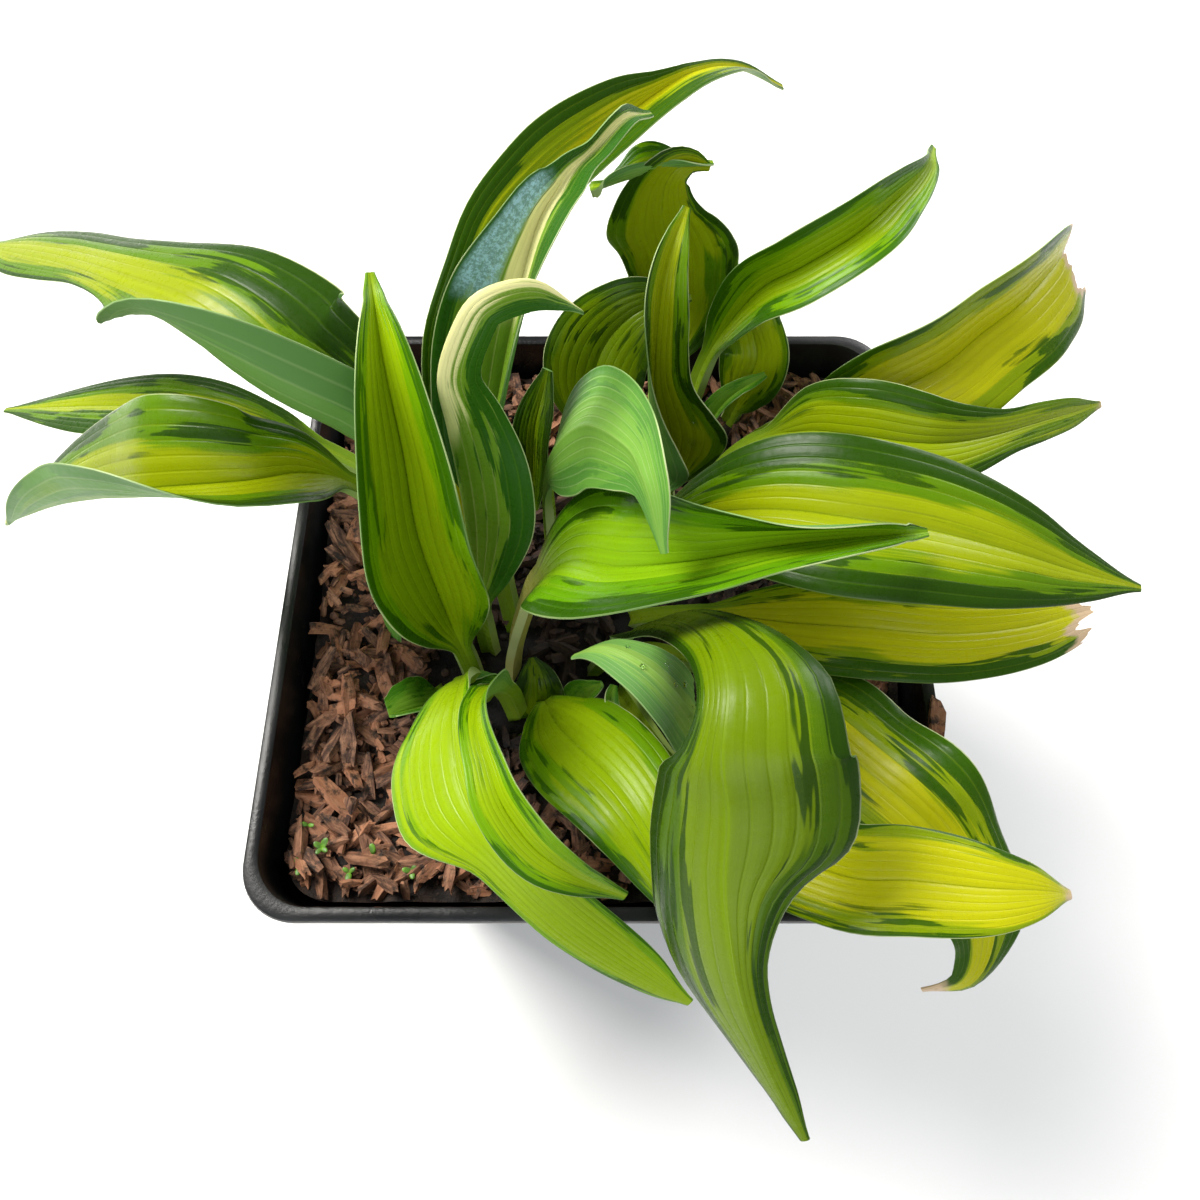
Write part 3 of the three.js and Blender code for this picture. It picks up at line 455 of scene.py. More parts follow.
        spine=[[-16, -21, 84], [-16, -22, 100], [-16, -24, 115], [-16.5, -28, 127], [-17.5, -33, 136],
               [-17, -38, 141], [-15, -44, 143], [-13, -49, 143], [-9, -54, 141], [-4, -57, 138],
               [3, -59, 132]],
        blade=0.38, half=4.2, left=[40, 40, 20], right=[40, 40, 20], curl=[0, 0],
        profile=[0, 0.8, 0.5, 0.45, 0.65, 0.95, 0.9, 0.45, 0]),
}
leafPlan = dict(across=40, along=80, edge=0.2, swell=0.22, stalkThick=1.7, stalkHalf=1.9, stalkFold=24.0,
                tipHalf=0.7, keelFold=62.0, strips=6, solid=0.75, ribDepth=0.13, ribWidth=0.17,
                keelDepth=0.14, keelWidth=0.045, flutter=0.35, spineParts=200, framesPerRow=4,
                ownFrom=1.37, shootOwnFrom=41.2,
                profile=[0, 0.5, 0.86, 1, 0.96, 0.82, 0.58, 0.28, 0])

# kind of colour, share of the pale middle, dry tip's start, flecks, torn end
leafLooks = {
    "leaf_left_long": dict(kind="green", middle=0.4),
    "leaf_left_low": dict(kind="green", middle=0.55),
    "leaf_left_hidden": dict(kind="green", middle=0.3),
    "leaf_left_boat": dict(kind="bright", middle=0.65, flecks=0.01),
    "leaf_left_hook": dict(kind="cream", middle=0.3),
    "leaf_centre_tall": dict(kind="cream", middle=0.3),
    "leaf_top_arch": dict(kind="gold", middle=0.4),
    "leaf_top_curl": dict(kind="green", middle=0.6),
    "leaf_top_point": dict(kind="bright", middle=0.5),
    "leaf_centre_small": dict(kind="green", middle=0.6, flecks=0.02),
    "leaf_right_torn": dict(kind="gold", middle=0.62, dry=0.97, torn=0.05, flecks=0.02),
    "leaf_right_slim": dict(kind="olive", middle=0.5, dry=0.99),
    "leaf_right_big": dict(kind="green", middle=0.34, flecks=0.01),
    "leaf_middle_level": dict(kind="level", middle=0.5),
    "leaf_middle_curl": dict(kind="young", middle=0.5),
    "leaf_right_low": dict(kind="gold", middle=0.55, dry=0.94, torn=0.06),
    "leaf_right_waved": dict(kind="gold", middle=0.4, dry=0.95),
    "leaf_right_gold": dict(kind="gold", middle=0.7, dry=0.98, flecks=0.015),
    "leaf_front_big": dict(kind="dark", middle=0.62, flecks=0.02),
    "leaf_front_flap": dict(kind="green", middle=0.5),
    "leaf_front_left": dict(kind="bright", middle=0.75),
    "leaf_front_slim": dict(kind="bright", middle=0.55),
    "leaf_front_inner": dict(kind="bright", middle=0.65),
    "leaf_back_dark": dict(kind="dark", middle=0.7),
    "leaf_back_low": dict(kind="olive", middle=0.6),
    "leaf_young_left": dict(kind="young", middle=0.5),
    "leaf_young_front": dict(kind="young", middle=0.5),
    "leaf_young_back": dict(kind="young", middle=0.6),
}
# water drops: place along and across the leaf, radius in millimetres, 1 for the upper side or -1
dropPlan = {
    "leaf_front_flap": [(0.72, -0.5, 0.5, -1), (0.77, -0.2, 0.4, -1), (0.8, -0.55, 0.45, -1),
                        (0.7, 0.1, 0.35, -1), (0.84, 0.1, 0.4, -1), (0.67, -0.2, 0.3, -1),
                        (0.88, -0.4, 0.3, -1)],
    "leaf_centre_small": [(0.42, 0.5, 0.9, 1), (0.36, 0.3, 0.6, 1), (0.5, 0.6, 0.4, 1)],
}


def curveThrough(a, b, c, d, f):  # from b to c, smooth at both
    return b + f * (c - a + f * (2 * a - 5 * b + 4 * c - d + f * (3 * (b - c) + d - a))) / 2


def along(values, share):
    last = len(values) - 1
    place = min(max(share, 0.0), 1.0) * last
    first = min(math.floor(place), max(last - 1, 0))
    a, b, c, d = (values[min(max(first + k, 0), last)] for k in (-1, 0, 1, 2))
    return curveThrough(a, b, c, d, place - first)


def smoothStep(value, low, high):
    x = min(max((value - low) / (high - low), 0.0), 1.0)
    return x * x * (3 - 2 * x)


def halfWidth(leaf, t, side):
    u = (t - leaf["blade"]) / (1 - leaf["blade"])
    stalk = leaf.get("stalk", leafPlan["stalkHalf"])
    if u <= 0:
        return stalk
    low = stalk + (leafPlan["tipHalf"] - stalk) * u
    profile = leaf.get("profile", leafPlan["profile"])
    if side < 0:
        profile = leaf.get("profileLeft", profile)
    return low + (leaf["half"] - low) * along(profile, u)


def spinePoint(points, share):  # on a smooth curve through the points
    place = share * (len(points) - 1)
    first = min(math.floor(place), len(points) - 2)
    b, c = points[first], points[first + 1]
    a = points[first - 1] if first > 0 else 2 * b - c
    d = points[first + 2] if first + 2 < len(points) else 2 * c - b
    return curveThrough(a, b, c, d, place - first)


def spineFrames(leaf, count):  # place, direction and side at even steps along the spine
    points = [Vector(p) for p in leaf["spine"]]
    parts = leafPlan["spineParts"]
    walked = [0.0]
    for k in range(parts):
        step = spinePoint(points, (k + 1) / parts) - spinePoint(points, k / parts)
        walked.append(walked[-1] + step.length)
    reach = points[-1] - points[0]
    heading = math.radians(leaf["heading"]) if "heading" in leaf else math.atan2(reach.y, reach.x)
    side = Vector((math.sin(heading), -math.cos(heading), 0))
    frames, k = [], 0
    for i in range(count):
        t = i / (count - 1)
        while k < parts - 1 and walked[k + 1] < t * walked[-1]:
            k += 1
        share = (k + (t * walked[-1] - walked[k]) / (walked[k + 1] - walked[k])) / parts
        low, high = max(share - 1e-4, 0.0), min(share + 1e-4, 1.0)
        tangent = (spinePoint(points, high) - spinePoint(points, low)).normalized()
        side = (side - side.dot(tangent) * tangent).normalized()
        frames.append((t, spinePoint(points, share), tangent, side.copy()))
    return frames


def bladeOpened(leaf, t):  # 0 on the folded stalk, 1 on the blade
    return smoothStep(t, leaf["blade"] * 0.8, leaf["blade"] + 0.12)


def leafPoint(leaf, frameAt, s, own):  # a point of the blade and its upper normal
    plan = leafPlan
    t, point, tangent, side = frameAt
    roll = math.radians(along(leaf.get("roll", [0]), t))
    lift = side.cross(tangent)
    across = side * math.cos(roll) + lift * math.sin(roll)
    up = across.cross(tangent)
    opened = bladeOpened(leaf, t)
    width = halfWidth(leaf, t, s)
    angles, curl = (leaf["left"], leaf["curl"][0]) if s < 0 else (leaf["right"], leaf["curl"][1])
    stiff = min(1.0, 1.8 * width / plan["strips"] / plan["solid"])  # where narrow, a leaf folds less
    mean = stiff * (plan["stalkFold"] + (along(angles, t) - plan["stalkFold"]) * opened)
    start = min(max(mean, -plan["keelFold"]), plan["keelFold"])
    fold = math.radians(start)
    gain = math.radians(stiff * curl * opened + 2 * (mean - start)) or 1e-6
    angle = fold + gain * abs(s)
    out = (math.sin(angle) - math.sin(fold)) / gain
    rise = (math.cos(fold) - math.cos(angle)) / gain
    height, waves = leaf.get("wave", [0, 0])
    ending = min(1.0, 6 * (1 - t))
    ripple = height * opened * abs(s) ** 3 * math.sin(2 * math.pi * waves * t) * ending
    sign = -1.0 if s < 0 else 1.0
    normal = up * math.cos(angle) - across * (sign * math.sin(angle))
    place = point + across * (sign * out * width) + up * (rise * width + ripple)

    # sunken veins and midrib, and a slight flutter towards the edge
    lane = abs(s) * leafFinish["veins"]
    groove = math.exp(-((lane - round(lane)) / plan["ribWidth"]) ** 2) if lane > 0.5 else 0.0
    depth = plan["ribDepth"] * groove + plan["keelDepth"] * math.exp(-(s / plan["keelWidth"]) ** 2)
    shrink = opened * min(1.0, width / 7) * ending
    waver = plan["flutter"] * s * s * noise.noise(Vector((5 * t, 2 * sign, own * 3.1))) * 2
    place += normal * (waver - depth) * shrink
    return place, normal


def shadeSmooth(mesh, angle=50):
    for polygon in mesh.polygons:
        polygon.use_smooth = True
    mesh.set_sharp_from_angle(angle=math.radians(angle))


def finishedMesh(piece):  # the piece's mesh with its modifiers applied
    bpy.context.view_layer.update()
    evaluated = piece.evaluated_get(bpy.context.evaluated_depsgraph_get())
    mesh = bpy.data.meshes.new_from_object(evaluated)
    piece.modifiers.clear()
    piece.data = mesh
    return mesh


def newPiece(name, bm, materials):
    mesh = bpy.data.meshes.new(name)
    bm.to_mesh(mesh)
    bm.free()
    piece = bpy.data.objects.new(name, mesh)
    bpy.context.scene.collection.objects.link(piece)
    for material in materials:
        mesh.materials.append(material)
    return piece


def leafSheet(leaf, look, own, frames):  # the leaf as one sheet, and each point's share of the thickness
    blade = leaf["blade"]
    bm = bmesh.new()
    maps = {name: bm.loops.layers.uv.new(name) for name in ("leaf", "look", "wear")}
    bmesh.ops.create_grid(bm, x_segments=leafPlan["across"], y_segments=leafPlan["along"], size=1.0,
                          calc_uvs=False)
    for face in bm.faces:
        for loop in face.loops:
            s, t = loop.vert.co.x, (loop.vert.co.y + 1) / 2
            loop[maps["leaf"]].uv = (s, (t - blade) / (1 - blade))
            loop[maps["look"]].uv = (look["middle"], own)
            loop[maps["wear"]].uv = (look.get("dry", 2.0), look.get("flecks", 0.0))
    thick = {}
    for vert in bm.verts:
        s, t = vert.co.x, (vert.co.y + 1) / 2
        thick[vert.index] = max(1 - bladeOpened(leaf, t), leafPlan["swell"] * (1 - s ** 4))
        if "torn" in look:
            bite = 0.5 + noise.noise(Vector((s * 3.1, own * 5.7, 0.3)))
            bite += 0.3 * noise.noise(Vector((s * 11, own, 0.9)))
            t *= 1 - look["torn"] * bite * smoothStep(t, 0.6, 1.0)
        frameAt = frames[min(round(t * (len(frames) - 1)), len(frames) - 1)]
        vert.co = leafPoint(leaf, frameAt, s, own)[0] * mm
    bm.verts.index_update()
    return bm, thick


def thickenLeaf(piece, thick):
    group = piece.vertex_groups.new(name="stalk")
    for index, weight in thick.items():
        group.add([index], weight, "REPLACE")
    solid = piece.modifiers.new("thickness", "SOLIDIFY")
    solid.thickness = leafPlan["stalkThick"] * mm
    solid.vertex_group = "stalk"
    solid.thickness_vertex_group = leafPlan["edge"] / leafPlan["stalkThick"]
    solid.offset = 0.0
    solid.material_offset = 1
    solid.material_offset_rim = 1
    return finishedMesh(piece)


def addDrops(mesh, leaf, own, frames, drops):
    bm = bmesh.new()
    bm.from_mesh(mesh)
    for t, s, radius, side in drops:
        place, normal = leafPoint(leaf, frames[round(t * (len(frames) - 1))], s, own)
        normal *= side
        turn = normal.to_track_quat("Z", "Y").to_matrix().to_4x4()
        size = radius * mm
        flat = Matrix.Diagonal((size, size, size * 0.6, 1))
        start = Matrix.Translation((place + normal * (0.25 + 0.35 * radius)) * mm)
        made = bmesh.ops.create_icosphere(bm, subdivisions=3, radius=1.0, matrix=start @ turn @ flat)
        for vert in made["verts"]:
            for face in vert.link_faces:
                face.material_index = 2
    bm.to_mesh(mesh)
    bm.free()


def makeLeaf(name, leaf, look, own, drops=()):
    kind = look["kind"]
    frames = spineFrames(leaf, leafPlan["along"] * leafPlan["framesPerRow"] + 1)
    bm, thick = leafSheet(leaf, look, own, frames)
    materials = (upperOf[kind], underOf[kind], water) if drops else (upperOf[kind], underOf[kind])
    piece = newPiece(name, bm, materials)
    mesh = thickenLeaf(piece, thick)
    if drops:
        addDrops(mesh, leaf, own, frames, drops)
    shadeSmooth(mesh)
    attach(piece, "root")
    return piece


for number, node in enumerate(leafShapes):
    name = node.replace("leaf_", "hosta_")
    own = number + leafPlan["ownFrom"]
    piece = makeLeaf(name, leafShapes[node], leafLooks[node], own, dropPlan.get(node, ()))
    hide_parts(node)
print("leaves made:", len(leafShapes))


# Small shoots among the stalks and the folded lobe on top of the curled leaf, in the leaves' form
shootPlan = {
    "shoot_flap": dict(
        spine=[[-39, -7, 88], [-41.5, -4, 96], [-42, -1, 100.5], [-40, 2, 103]],
        heading=110, blade=0.2, half=5.0, left=[30, 100, 110, 60], right=[20, 10, 0], curl=[0, 20],
        look=dict(kind="young", middle=0.5)),
    "shoot_funnel": dict(
        spine=[[-23, -19.5, 86], [-26.5, -22, 97], [-26, -20.5, 105], [-22, -18.5, 109], [-18, -19.5, 108.5]],
        heading=60, blade=0.3, half=5.5, left=[30, 100, 120, 90], right=[30, 70, 60, 30], curl=[0, 30],
        profile=[0.2, 0.8, 1, 1, 1, 0.9, 0.6, 0.3, 0], look=dict(kind="young", middle=0.4)),
    "shoot_dark": dict(
        spine=[[-12, -21, 86], [-12, -20.5, 95], [-12, -17.5, 100], [-13, -13, 102]],
        heading=95, blade=0.2, half=5.0, left=[20, 10, 5], right=[20, 10, 5], curl=[0, 0],
        profile=[0.2, 0.7, 1, 1.05, 1, 0.9, 0.7, 0.4, 0], look=dict(kind="dark", middle=0.5)),
    "shoot_shoulder": dict(
        spine=[[-15.5, -24, 88], [-11, -22, 97], [-4, -24.5, 102], [4, -29, 104.5], [10, -34.5, 105]],
        blade=0.1, half=5.5, left=[-20, -40, -45, -30], right=[-10, -30, -35, -20], curl=[-20, -20],
        profile=[0.5, 0.9, 1, 1, 1, 0.95, 0.8, 0.5, 0.2], look=dict(kind="bright", middle=0.8)),
    "top_fold": dict(
        spine=[[-2, 59.5, 143.5], [5, 60.5, 145.6], [12, 61.7, 146.6], [19.5, 63, 146.4]],
        blade=0.02, half=5.0, stalk=0.8, left=[0, 10, 20, 10, 0], right=[60, 90, 90, 60], curl=[10, 20],
        profile=[0.15, 0.35, 0.4, 0.4, 0.35, 0.3, 0.25, 0.15, 0],
        profileLeft=[0.1, 0.15, 0.5, 1, 1.1, 0.9, 0.5, 0.2, 0], look=dict(kind="bright", middle=0.4)),
    "shoot_back": dict(
        spine=[[-15, 26, 90], [-14, 28, 102], [-13, 30, 113], [-11, 33, 121], [-10, 35, 125]],
        heading=60, blade=0.05, half=4.6, left=[30, 20, 10], right=[30, 20, 10], curl=[0, 10],
        profile=[0.5, 0.8, 1, 1, 1, 0.95, 0.8, 0.5, 0.1], look=dict(kind="dark", middle=0.3)),
    "shoot_fold": dict(
        spine=[[6, -33, 96], [3.5, -28.5, 104], [1, -25, 109.5], [2, -21.5, 111]],
        heading=110, blade=0.2, half=3.8, left=[30, 100, 100, 60], right=[30, 60, 50, 20], curl=[0, 20],
        look=dict(kind="young", middle=0.5)),
}
for number, (name, shoot) in enumerate(shootPlan.items()):
    makeLeaf(name, shoot, shoot["look"], number + leafPlan["shootOwnFrom"])
print("shoots made:", len(shootPlan))


# The pot, by the part's own sizes
potPlan = dict(width=120.0, height=105.0, foot=88.0, corner=9.5, wall=1.2, floor=1.6, band=14.0, bandStep=1.6,
               stepFall=1.5, lip=1.3, lipHeight=2.4, drain=4.0, drainOut=24.0, chamfer=2.0, cornerSteps=14)
fourCorners = ((1, 1), (-1, 1), (-1, -1), (1, -1))


def plasticMaterial():
    material, tree = newMaterial("pot_plastic")
    place = objectPlace(tree)
    grain = noiseAt(tree, place, 1500.0, 3.0, 0.6)
    cloud = noiseAt(tree, place, 45.0, 4.0, 0.6)
    dust = ramp(tree, noiseAt(tree, place, 160.0, 6.0, 0.7), 0.55, 0.75)
    colour = mixColour(tree, ramp(tree, cloud, 0.35, 0.7), (0.003, 0.0035, 0.004), (0.01, 0.0105, 0.011))
    colour = mixColour(tree, times(tree, dust, 0.22), colour, (0.06, 0.05, 0.04))
    bump = bumpFrom(tree, grain, 0.3, 0.0002)
    rough = ramp(tree, cloud, 0.3, 0.75, (0.26, 0.45))
    finishMaterial(tree, addSurface(tree, colour, rough, {"Specular IOR Level": 0.32, "Normal": bump}))
    return material


def wallHalf(z):  # half the pot's width at a height, without the band
    p = potPlan
    slope = (p["width"] - p["foot"]) / 2 / p["height"]
    return min(p["foot"] / 2 + slope * z, p["width"] / 2 - p["lip"] - p["bandStep"])


def innerHalf(z, clear):  # half the width inside the wall, up to the step under the band
    p = potPlan
    return wallHalf(min(z, p["height"] - p["band"] - p["stepFall"])) - p["wall"] - clear


def squareFace(bm, half, z):  # a square with round corners, in one face
    corners = [bm.verts.new((x * half * mm, y * half * mm, z * mm)) for x, y in fourCorners]
    bm.faces.new(corners)
    radius = potPlan["corner"] * half / (potPlan["width"] / 2)
    bmesh.ops.bevel(bm, geom=corners, offset=radius * mm, offset_type="OFFSET", affect="VERTICES",
                    segments=potPlan["cornerSteps"], profile=0.5, material=-1)


def raiseRings(bm, half, rings):  # carries the outline on from ring to ring
    edges = [edge for edge in bm.edges if edge.is_boundary]
    for nextHalf, z in rings:
        made = bmesh.ops.extrude_edge_only(bm, edges=edges)["geom"]
        verts = [item for item in made if isinstance(item, bmesh.types.BMVert)]
        edges = [item for item in made if isinstance(item, bmesh.types.BMEdge)]
        for vert in verts:
            vert.co.x *= nextHalf / half
            vert.co.y *= nextHalf / half
            vert.co.z = z * mm
        half = nextHalf
    return edges


def potRings():  # half widths and heights, up the outside, over the lip and down the inside
    p = potPlan
    rim, top, floorTop = p["width"] / 2, p["height"], p["floor"]
    bandHalf, bandFoot, lipFoot = rim - p["lip"], top - p["band"], top - p["lipHeight"]
    inner, insideStep = bandHalf - p["wall"], bandFoot - p["stepFall"]
    foot = [(wallHalf(0.6) - 0.7, 0.5), (wallHalf(p["chamfer"]), p["chamfer"]), (wallHalf(40), 40.0)]
    band = [(wallHalf(bandFoot - 1.9), bandFoot - 1.9), (wallHalf(bandFoot) + 0.3, bandFoot - 1.1),
            (bandHalf - 0.35, bandFoot - 0.2), (bandHalf, bandFoot + 0.4), (bandHalf, lipFoot - 0.8)]
    lip = [(rim - 0.4, lipFoot - 0.2), (rim, lipFoot + 0.3), (rim, top - 0.7), (rim - 0.2, top - 0.2),
           (rim - 0.7, top), (inner + 0.6, top), (inner + 0.15, top - 0.2), (inner, top - 0.7)]
    inside = [(inner - 0.3, bandFoot), (wallHalf(insideStep) - p["wall"], insideStep),
              (wallHalf(floorTop + 1) - p["wall"], floorTop + 1.0),
              (wallHalf(floorTop) - p["wall"] - 1, floorTop)]
    return foot + band + lip + inside


def cutDrains(piece):
    p = potPlan
    cutters = bmesh.new()
    for x, y in fourCorners:
        place = Matrix.Translation((x * p["drainOut"] * mm, y * p["drainOut"] * mm, p["floor"] / 2 * mm))
        bmesh.ops.create_cone(cutters, cap_ends=True, segments=40, radius1=p["drain"] * mm,
                              radius2=p["drain"] * mm, depth=(p["floor"] + 2) * mm, matrix=place)
    cutter = newPiece("drain_cutter", cutters, ())
    cut = piece.modifiers.new("drains", "BOOLEAN")
    cut.object, cut.solver = cutter, "EXACT"
    mesh = finishedMesh(piece)
    bpy.data.objects.remove(cutter)
    return mesh


def makePot():
    start = wallHalf(0) - potPlan["chamfer"]
    bm = bmesh.new()
    squareFace(bm, start, 0.0)
    edges = raiseRings(bm, start, potRings())
    bmesh.ops.contextual_create(bm, geom=edges)
    bmesh.ops.recalc_face_normals(bm, faces=bm.faces)
    piece = newPiece("nursery_pot", bm, (plasticMaterial(),))
    shadeSmooth(cutDrains(piece), 40)
    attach(piece, "root")
    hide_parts("pot")


makePot()
print("pot made")


# The soil: uneven compost with split chips of bark and crumbs. Chips lie at a random turn and
# tilt, and keep clear of the stalks.
# darkFrom, darkTo and darkMiddle place the painted shade round the stalks
soilPlan = dict(top=91.0, cells=90, bump=2.6, bank=4.5, bankFrom=32, bankTo=50, depth=30.0, reach=54.5,
                seed=11, chips=2300, crumbs=900, length=(2.4, 7.5), width=(1.0, 2.4), thick=(0.6, 1.2),
                tilt=0.38, twist=0.9, lift=(-0.2, 3.0), stalkGap=4.5, batch=50, darkFrom=0.03, darkTo=0.047,
                darkMiddle=(0.004, -0.004, 0.092))


def paintedShadeUnderPlant(tree, place, colour):  # darker round the stalks: painted shade, and wet compost
    s = soilPlan
    distance = addNode(tree, "ShaderNodeVectorMath", {0: place, 1: s["darkMiddle"]}, operation="DISTANCE")
    return shaded(tree, colour, ramp(tree, distance.outputs[1], s["darkFrom"], s["darkTo"], (0.16, 1.0)))


def barkMaterial():
    material, tree = newMaterial("bark_soil")
    lengthwise, crosswise = mapParts(tree, "grain")
    fibre = joinXyz(tree, times(tree, lengthwise, 0.22), crosswise, 0.0)
    fibres = noiseAt(tree, fibre, 900.0, 5.0, 0.7)
    place = objectPlace(tree)
    tone = noiseAt(tree, place, 110.0, 3.0, 0.6)
    blackPatches = noiseAt(tree, place, 420.0, 5.0, 0.7)
    tone = plus(tree, times(tree, tone, 0.5), times(tree, mapParts(tree, "own")[0], 0.5))
    colour = mixColour(tree, ramp(tree, tone, 0.25, 0.8), (0.035, 0.012, 0.006), (0.3, 0.12, 0.055))
    colour = mixColour(tree, ramp(tree, fibres, 0.38, 0.68, (0.0, 0.7)), colour, (0.4, 0.2, 0.11))
    # darker, almost black, in patches at random
    colour = mixColour(tree, ramp(tree, blackPatches, 0.48, 0.66, (0.0, 0.94)), colour, (0.01, 0.006, 0.003))
    colour = paintedShadeUnderPlant(tree, place, colour)
    bump = bumpFrom(tree, plus(tree, fibres, times(tree, blackPatches, 0.7)), 0.8, 0.0005)
    finishMaterial(tree, addSurface(tree, colour, 0.82, {"Normal": bump}))
    return material


def compostMaterial():
    material, tree = newMaterial("compost")
    place = objectPlace(tree)
    lumps = noiseAt(tree, place, 260.0, 6.0, 0.7)
    fine = noiseAt(tree, place, 1300.0, 4.0, 0.7)
    colour = mixColour(tree, ramp(tree, lumps, 0.4, 0.75), (0.006, 0.004, 0.003), (0.04, 0.019, 0.01))
    colour = mixColour(tree, ramp(tree, fine, 0.55, 0.75, (0.0, 0.5)), colour, (0.11, 0.055, 0.03))
    colour = paintedShadeUnderPlant(tree, place, colour)
    bump = bumpFrom(tree, plus(tree, lumps, times(tree, fine, 0.4)), 1.0, 0.001)
    finishMaterial(tree, addSurface(tree, colour, 0.9, {"Normal": bump}))
    return material


def soilHeight(x, y):  # over the plain level, in millimetres
    s = soilPlan
    place = Vector((x * 0.06, y * 0.06, 2.3))
    uneven = noise.noise(place) + 0.6 * noise.noise(place * 2.7) + 0.35 * noise.noise(place * 7.1)
    return s["bump"] * uneven + s["bank"] * smoothStep(max(abs(x), abs(y)), s["bankFrom"], s["bankTo"])


def insidePot(x, y, z, clear):  # the nearest place at this height inside the wall
    half = innerHalf(z, clear)
    radius = potPlan["corner"] * half / (potPlan["width"] / 2)
    x, y = min(max(x, -half), half), min(max(y, -half), half)
    overX, overY = abs(x) - (half - radius), abs(y) - (half - radius)
    if overX > 0 and overY > 0:
        pull = radius / max(math.hypot(overX, overY), radius)
        x = math.copysign(half - radius + overX * pull, x)
        y = math.copysign(half - radius + overY * pull, y)
    return x, y


def newChips():  # an empty mesh with the maps that the bark reads
    bm = bmesh.new()
    return bm, bm.loops.layers.uv.new("grain"), bm.loops.layers.uv.new("own")


def addChip(bm, grain, ownMap, rng, place, size, turn, inside=True):
    before = len(bm.verts)
    made = bmesh.ops.create_cube(bm, size=1.0)
    edges = {edge for vert in made["verts"] for edge in vert.link_edges}
    bmesh.ops.subdivide_edges(bm, edges=list(edges), cuts=1, use_grid_fill=True)
    bm.verts.ensure_lookup_table()
    verts = bm.verts[before:]
    faces = {face for vert in verts for face in vert.link_faces}
    offset = Vector((rng.uniform(0, 90), rng.uniform(0, 90)))
    own = rng.random()
    for face in faces:
        for loop in face.loops:
            loop[ownMap].uv = (own, 0.0)
            co = loop.vert.co
            loop[grain].uv = (co.x * size.x * mm + offset.x, (co.y * size.y + co.z * size.z) * mm + offset.y)
    bend = rng.uniform(-0.25, 0.35) * size.x
    narrow = rng.uniform(0.25, 0.8), rng.uniform(0.5, 1.0)
    for vert in verts:
        x, y, z = vert.co
        taper = narrow[0] if x > 0.25 else narrow[1] if x < -0.25 else 1.0
        x += rng.uniform(-0.12, 0.12)
        y = y * taper + rng.uniform(-0.1, 0.1)
        z = z * rng.uniform(0.7, 1.15) - 4 * bend / size.x * x * x * 0.25
        spot = place + turn @ Vector((x * size.x, y * size.y, z * size.z))
        if inside:
            spot.x, spot.y = insidePot(spot.x, spot.y, spot.z, 0.3)
        vert.co = spot * mm


def soilBlock(bm):  # the uneven top, drawn down to a narrower, closed bottom
    s = soilPlan
    half = innerHalf(potPlan["height"], 0.1)
    bmesh.ops.create_grid(bm, x_segments=s["cells"], y_segments=s["cells"], size=half * mm)
    for vert in bm.verts:
        x, y = insidePot(vert.co.x / mm, vert.co.y / mm, potPlan["height"], 0.1)
        vert.co = Vector((x, y, s["top"] + soilHeight(x, y))) * mm
    edges = [edge for edge in bm.edges if edge.is_boundary]
    made = bmesh.ops.extrude_edge_only(bm, edges=edges)["geom"]
    low = [item for item in made if isinstance(item, bmesh.types.BMVert)]
    skirt = [item for item in made if isinstance(item, bmesh.types.BMEdge)]
    bottom = s["top"] - s["depth"]
    shrink = innerHalf(bottom, 0.1) / half
    for vert in low:
        vert.co = Vector((vert.co.x * shrink, vert.co.y * shrink, bottom * mm))
    bmesh.ops.contextual_create(bm, geom=skirt)
    bmesh.ops.recalc_face_normals(bm, faces=bm.faces)


def strewChips(bm, rng):  # made in batches, because adding to a large mesh is slow
    s = soilPlan
    stalks = [spinePoint([Vector(p) for p in leaf["spine"]], 0.06) for leaf in leafShapes.values()]
    placed = 0
    batch, joined = newChips(), bpy.data.meshes.new("chips")
    while placed < s["chips"]:
        x, y = rng.uniform(-s["reach"], s["reach"]), rng.uniform(-s["reach"], s["reach"])
        if any(math.hypot(x - stalk.x, y - stalk.y) < s["stalkGap"] for stalk in stalks):
            continue
        large = rng.random() ** 2.0
        size = Vector((s["length"][0] + s["length"][1] * large,
                       s["width"][0] + s["width"][1] * large * rng.uniform(0.5, 1),
                       s["thick"][0] + s["thick"][1] * large))
        turn = Matrix.Rotation(rng.uniform(0, math.pi), 3, "Z")
        turn = turn @ Matrix.Rotation(rng.gauss(0, s["tilt"]), 3, "Y")
        turn = turn @ Matrix.Rotation(rng.uniform(-s["twist"], s["twist"]), 3, "X")
        x, y = insidePot(x, y, s["top"], 0.4 * size.x)
        place = Vector((x, y, s["top"] + soilHeight(x, y) + rng.uniform(*s["lift"])))
        addChip(*batch, rng, place, size, turn)
        placed += 1
        if placed % s["batch"] == 0 or placed == s["chips"]:
            batch[0].to_mesh(joined)
            batch[0].free()
            bm.from_mesh(joined)
            batch = newChips()
    bpy.data.meshes.remove(joined)


def strewCrumbs(bm, rng):
    s = soilPlan
    for k in range(s["crumbs"]):
        x, y = rng.uniform(-s["reach"], s["reach"]), rng.uniform(-s["reach"], s["reach"])
        x, y = insidePot(x, y, s["top"], 2.4)
        radius = rng.uniform(0.3, 1.1) * mm
        spin = Matrix.Rotation(rng.uniform(0, 3), 4, "X") @ Matrix.Rotation(rng.uniform(0, 3), 4, "Z")
        place = Matrix.Translation(Vector((x, y, s["top"] + soilHeight(x, y) + 0.3)) * mm)
        stretch = Matrix.Diagonal((rng.uniform(0.7, 2.2), 1, rng.uniform(0.5, 1), 1))
        bmesh.ops.create_icosphere(bm, subdivisions=1, radius=radius, matrix=place @ spin @ stretch)


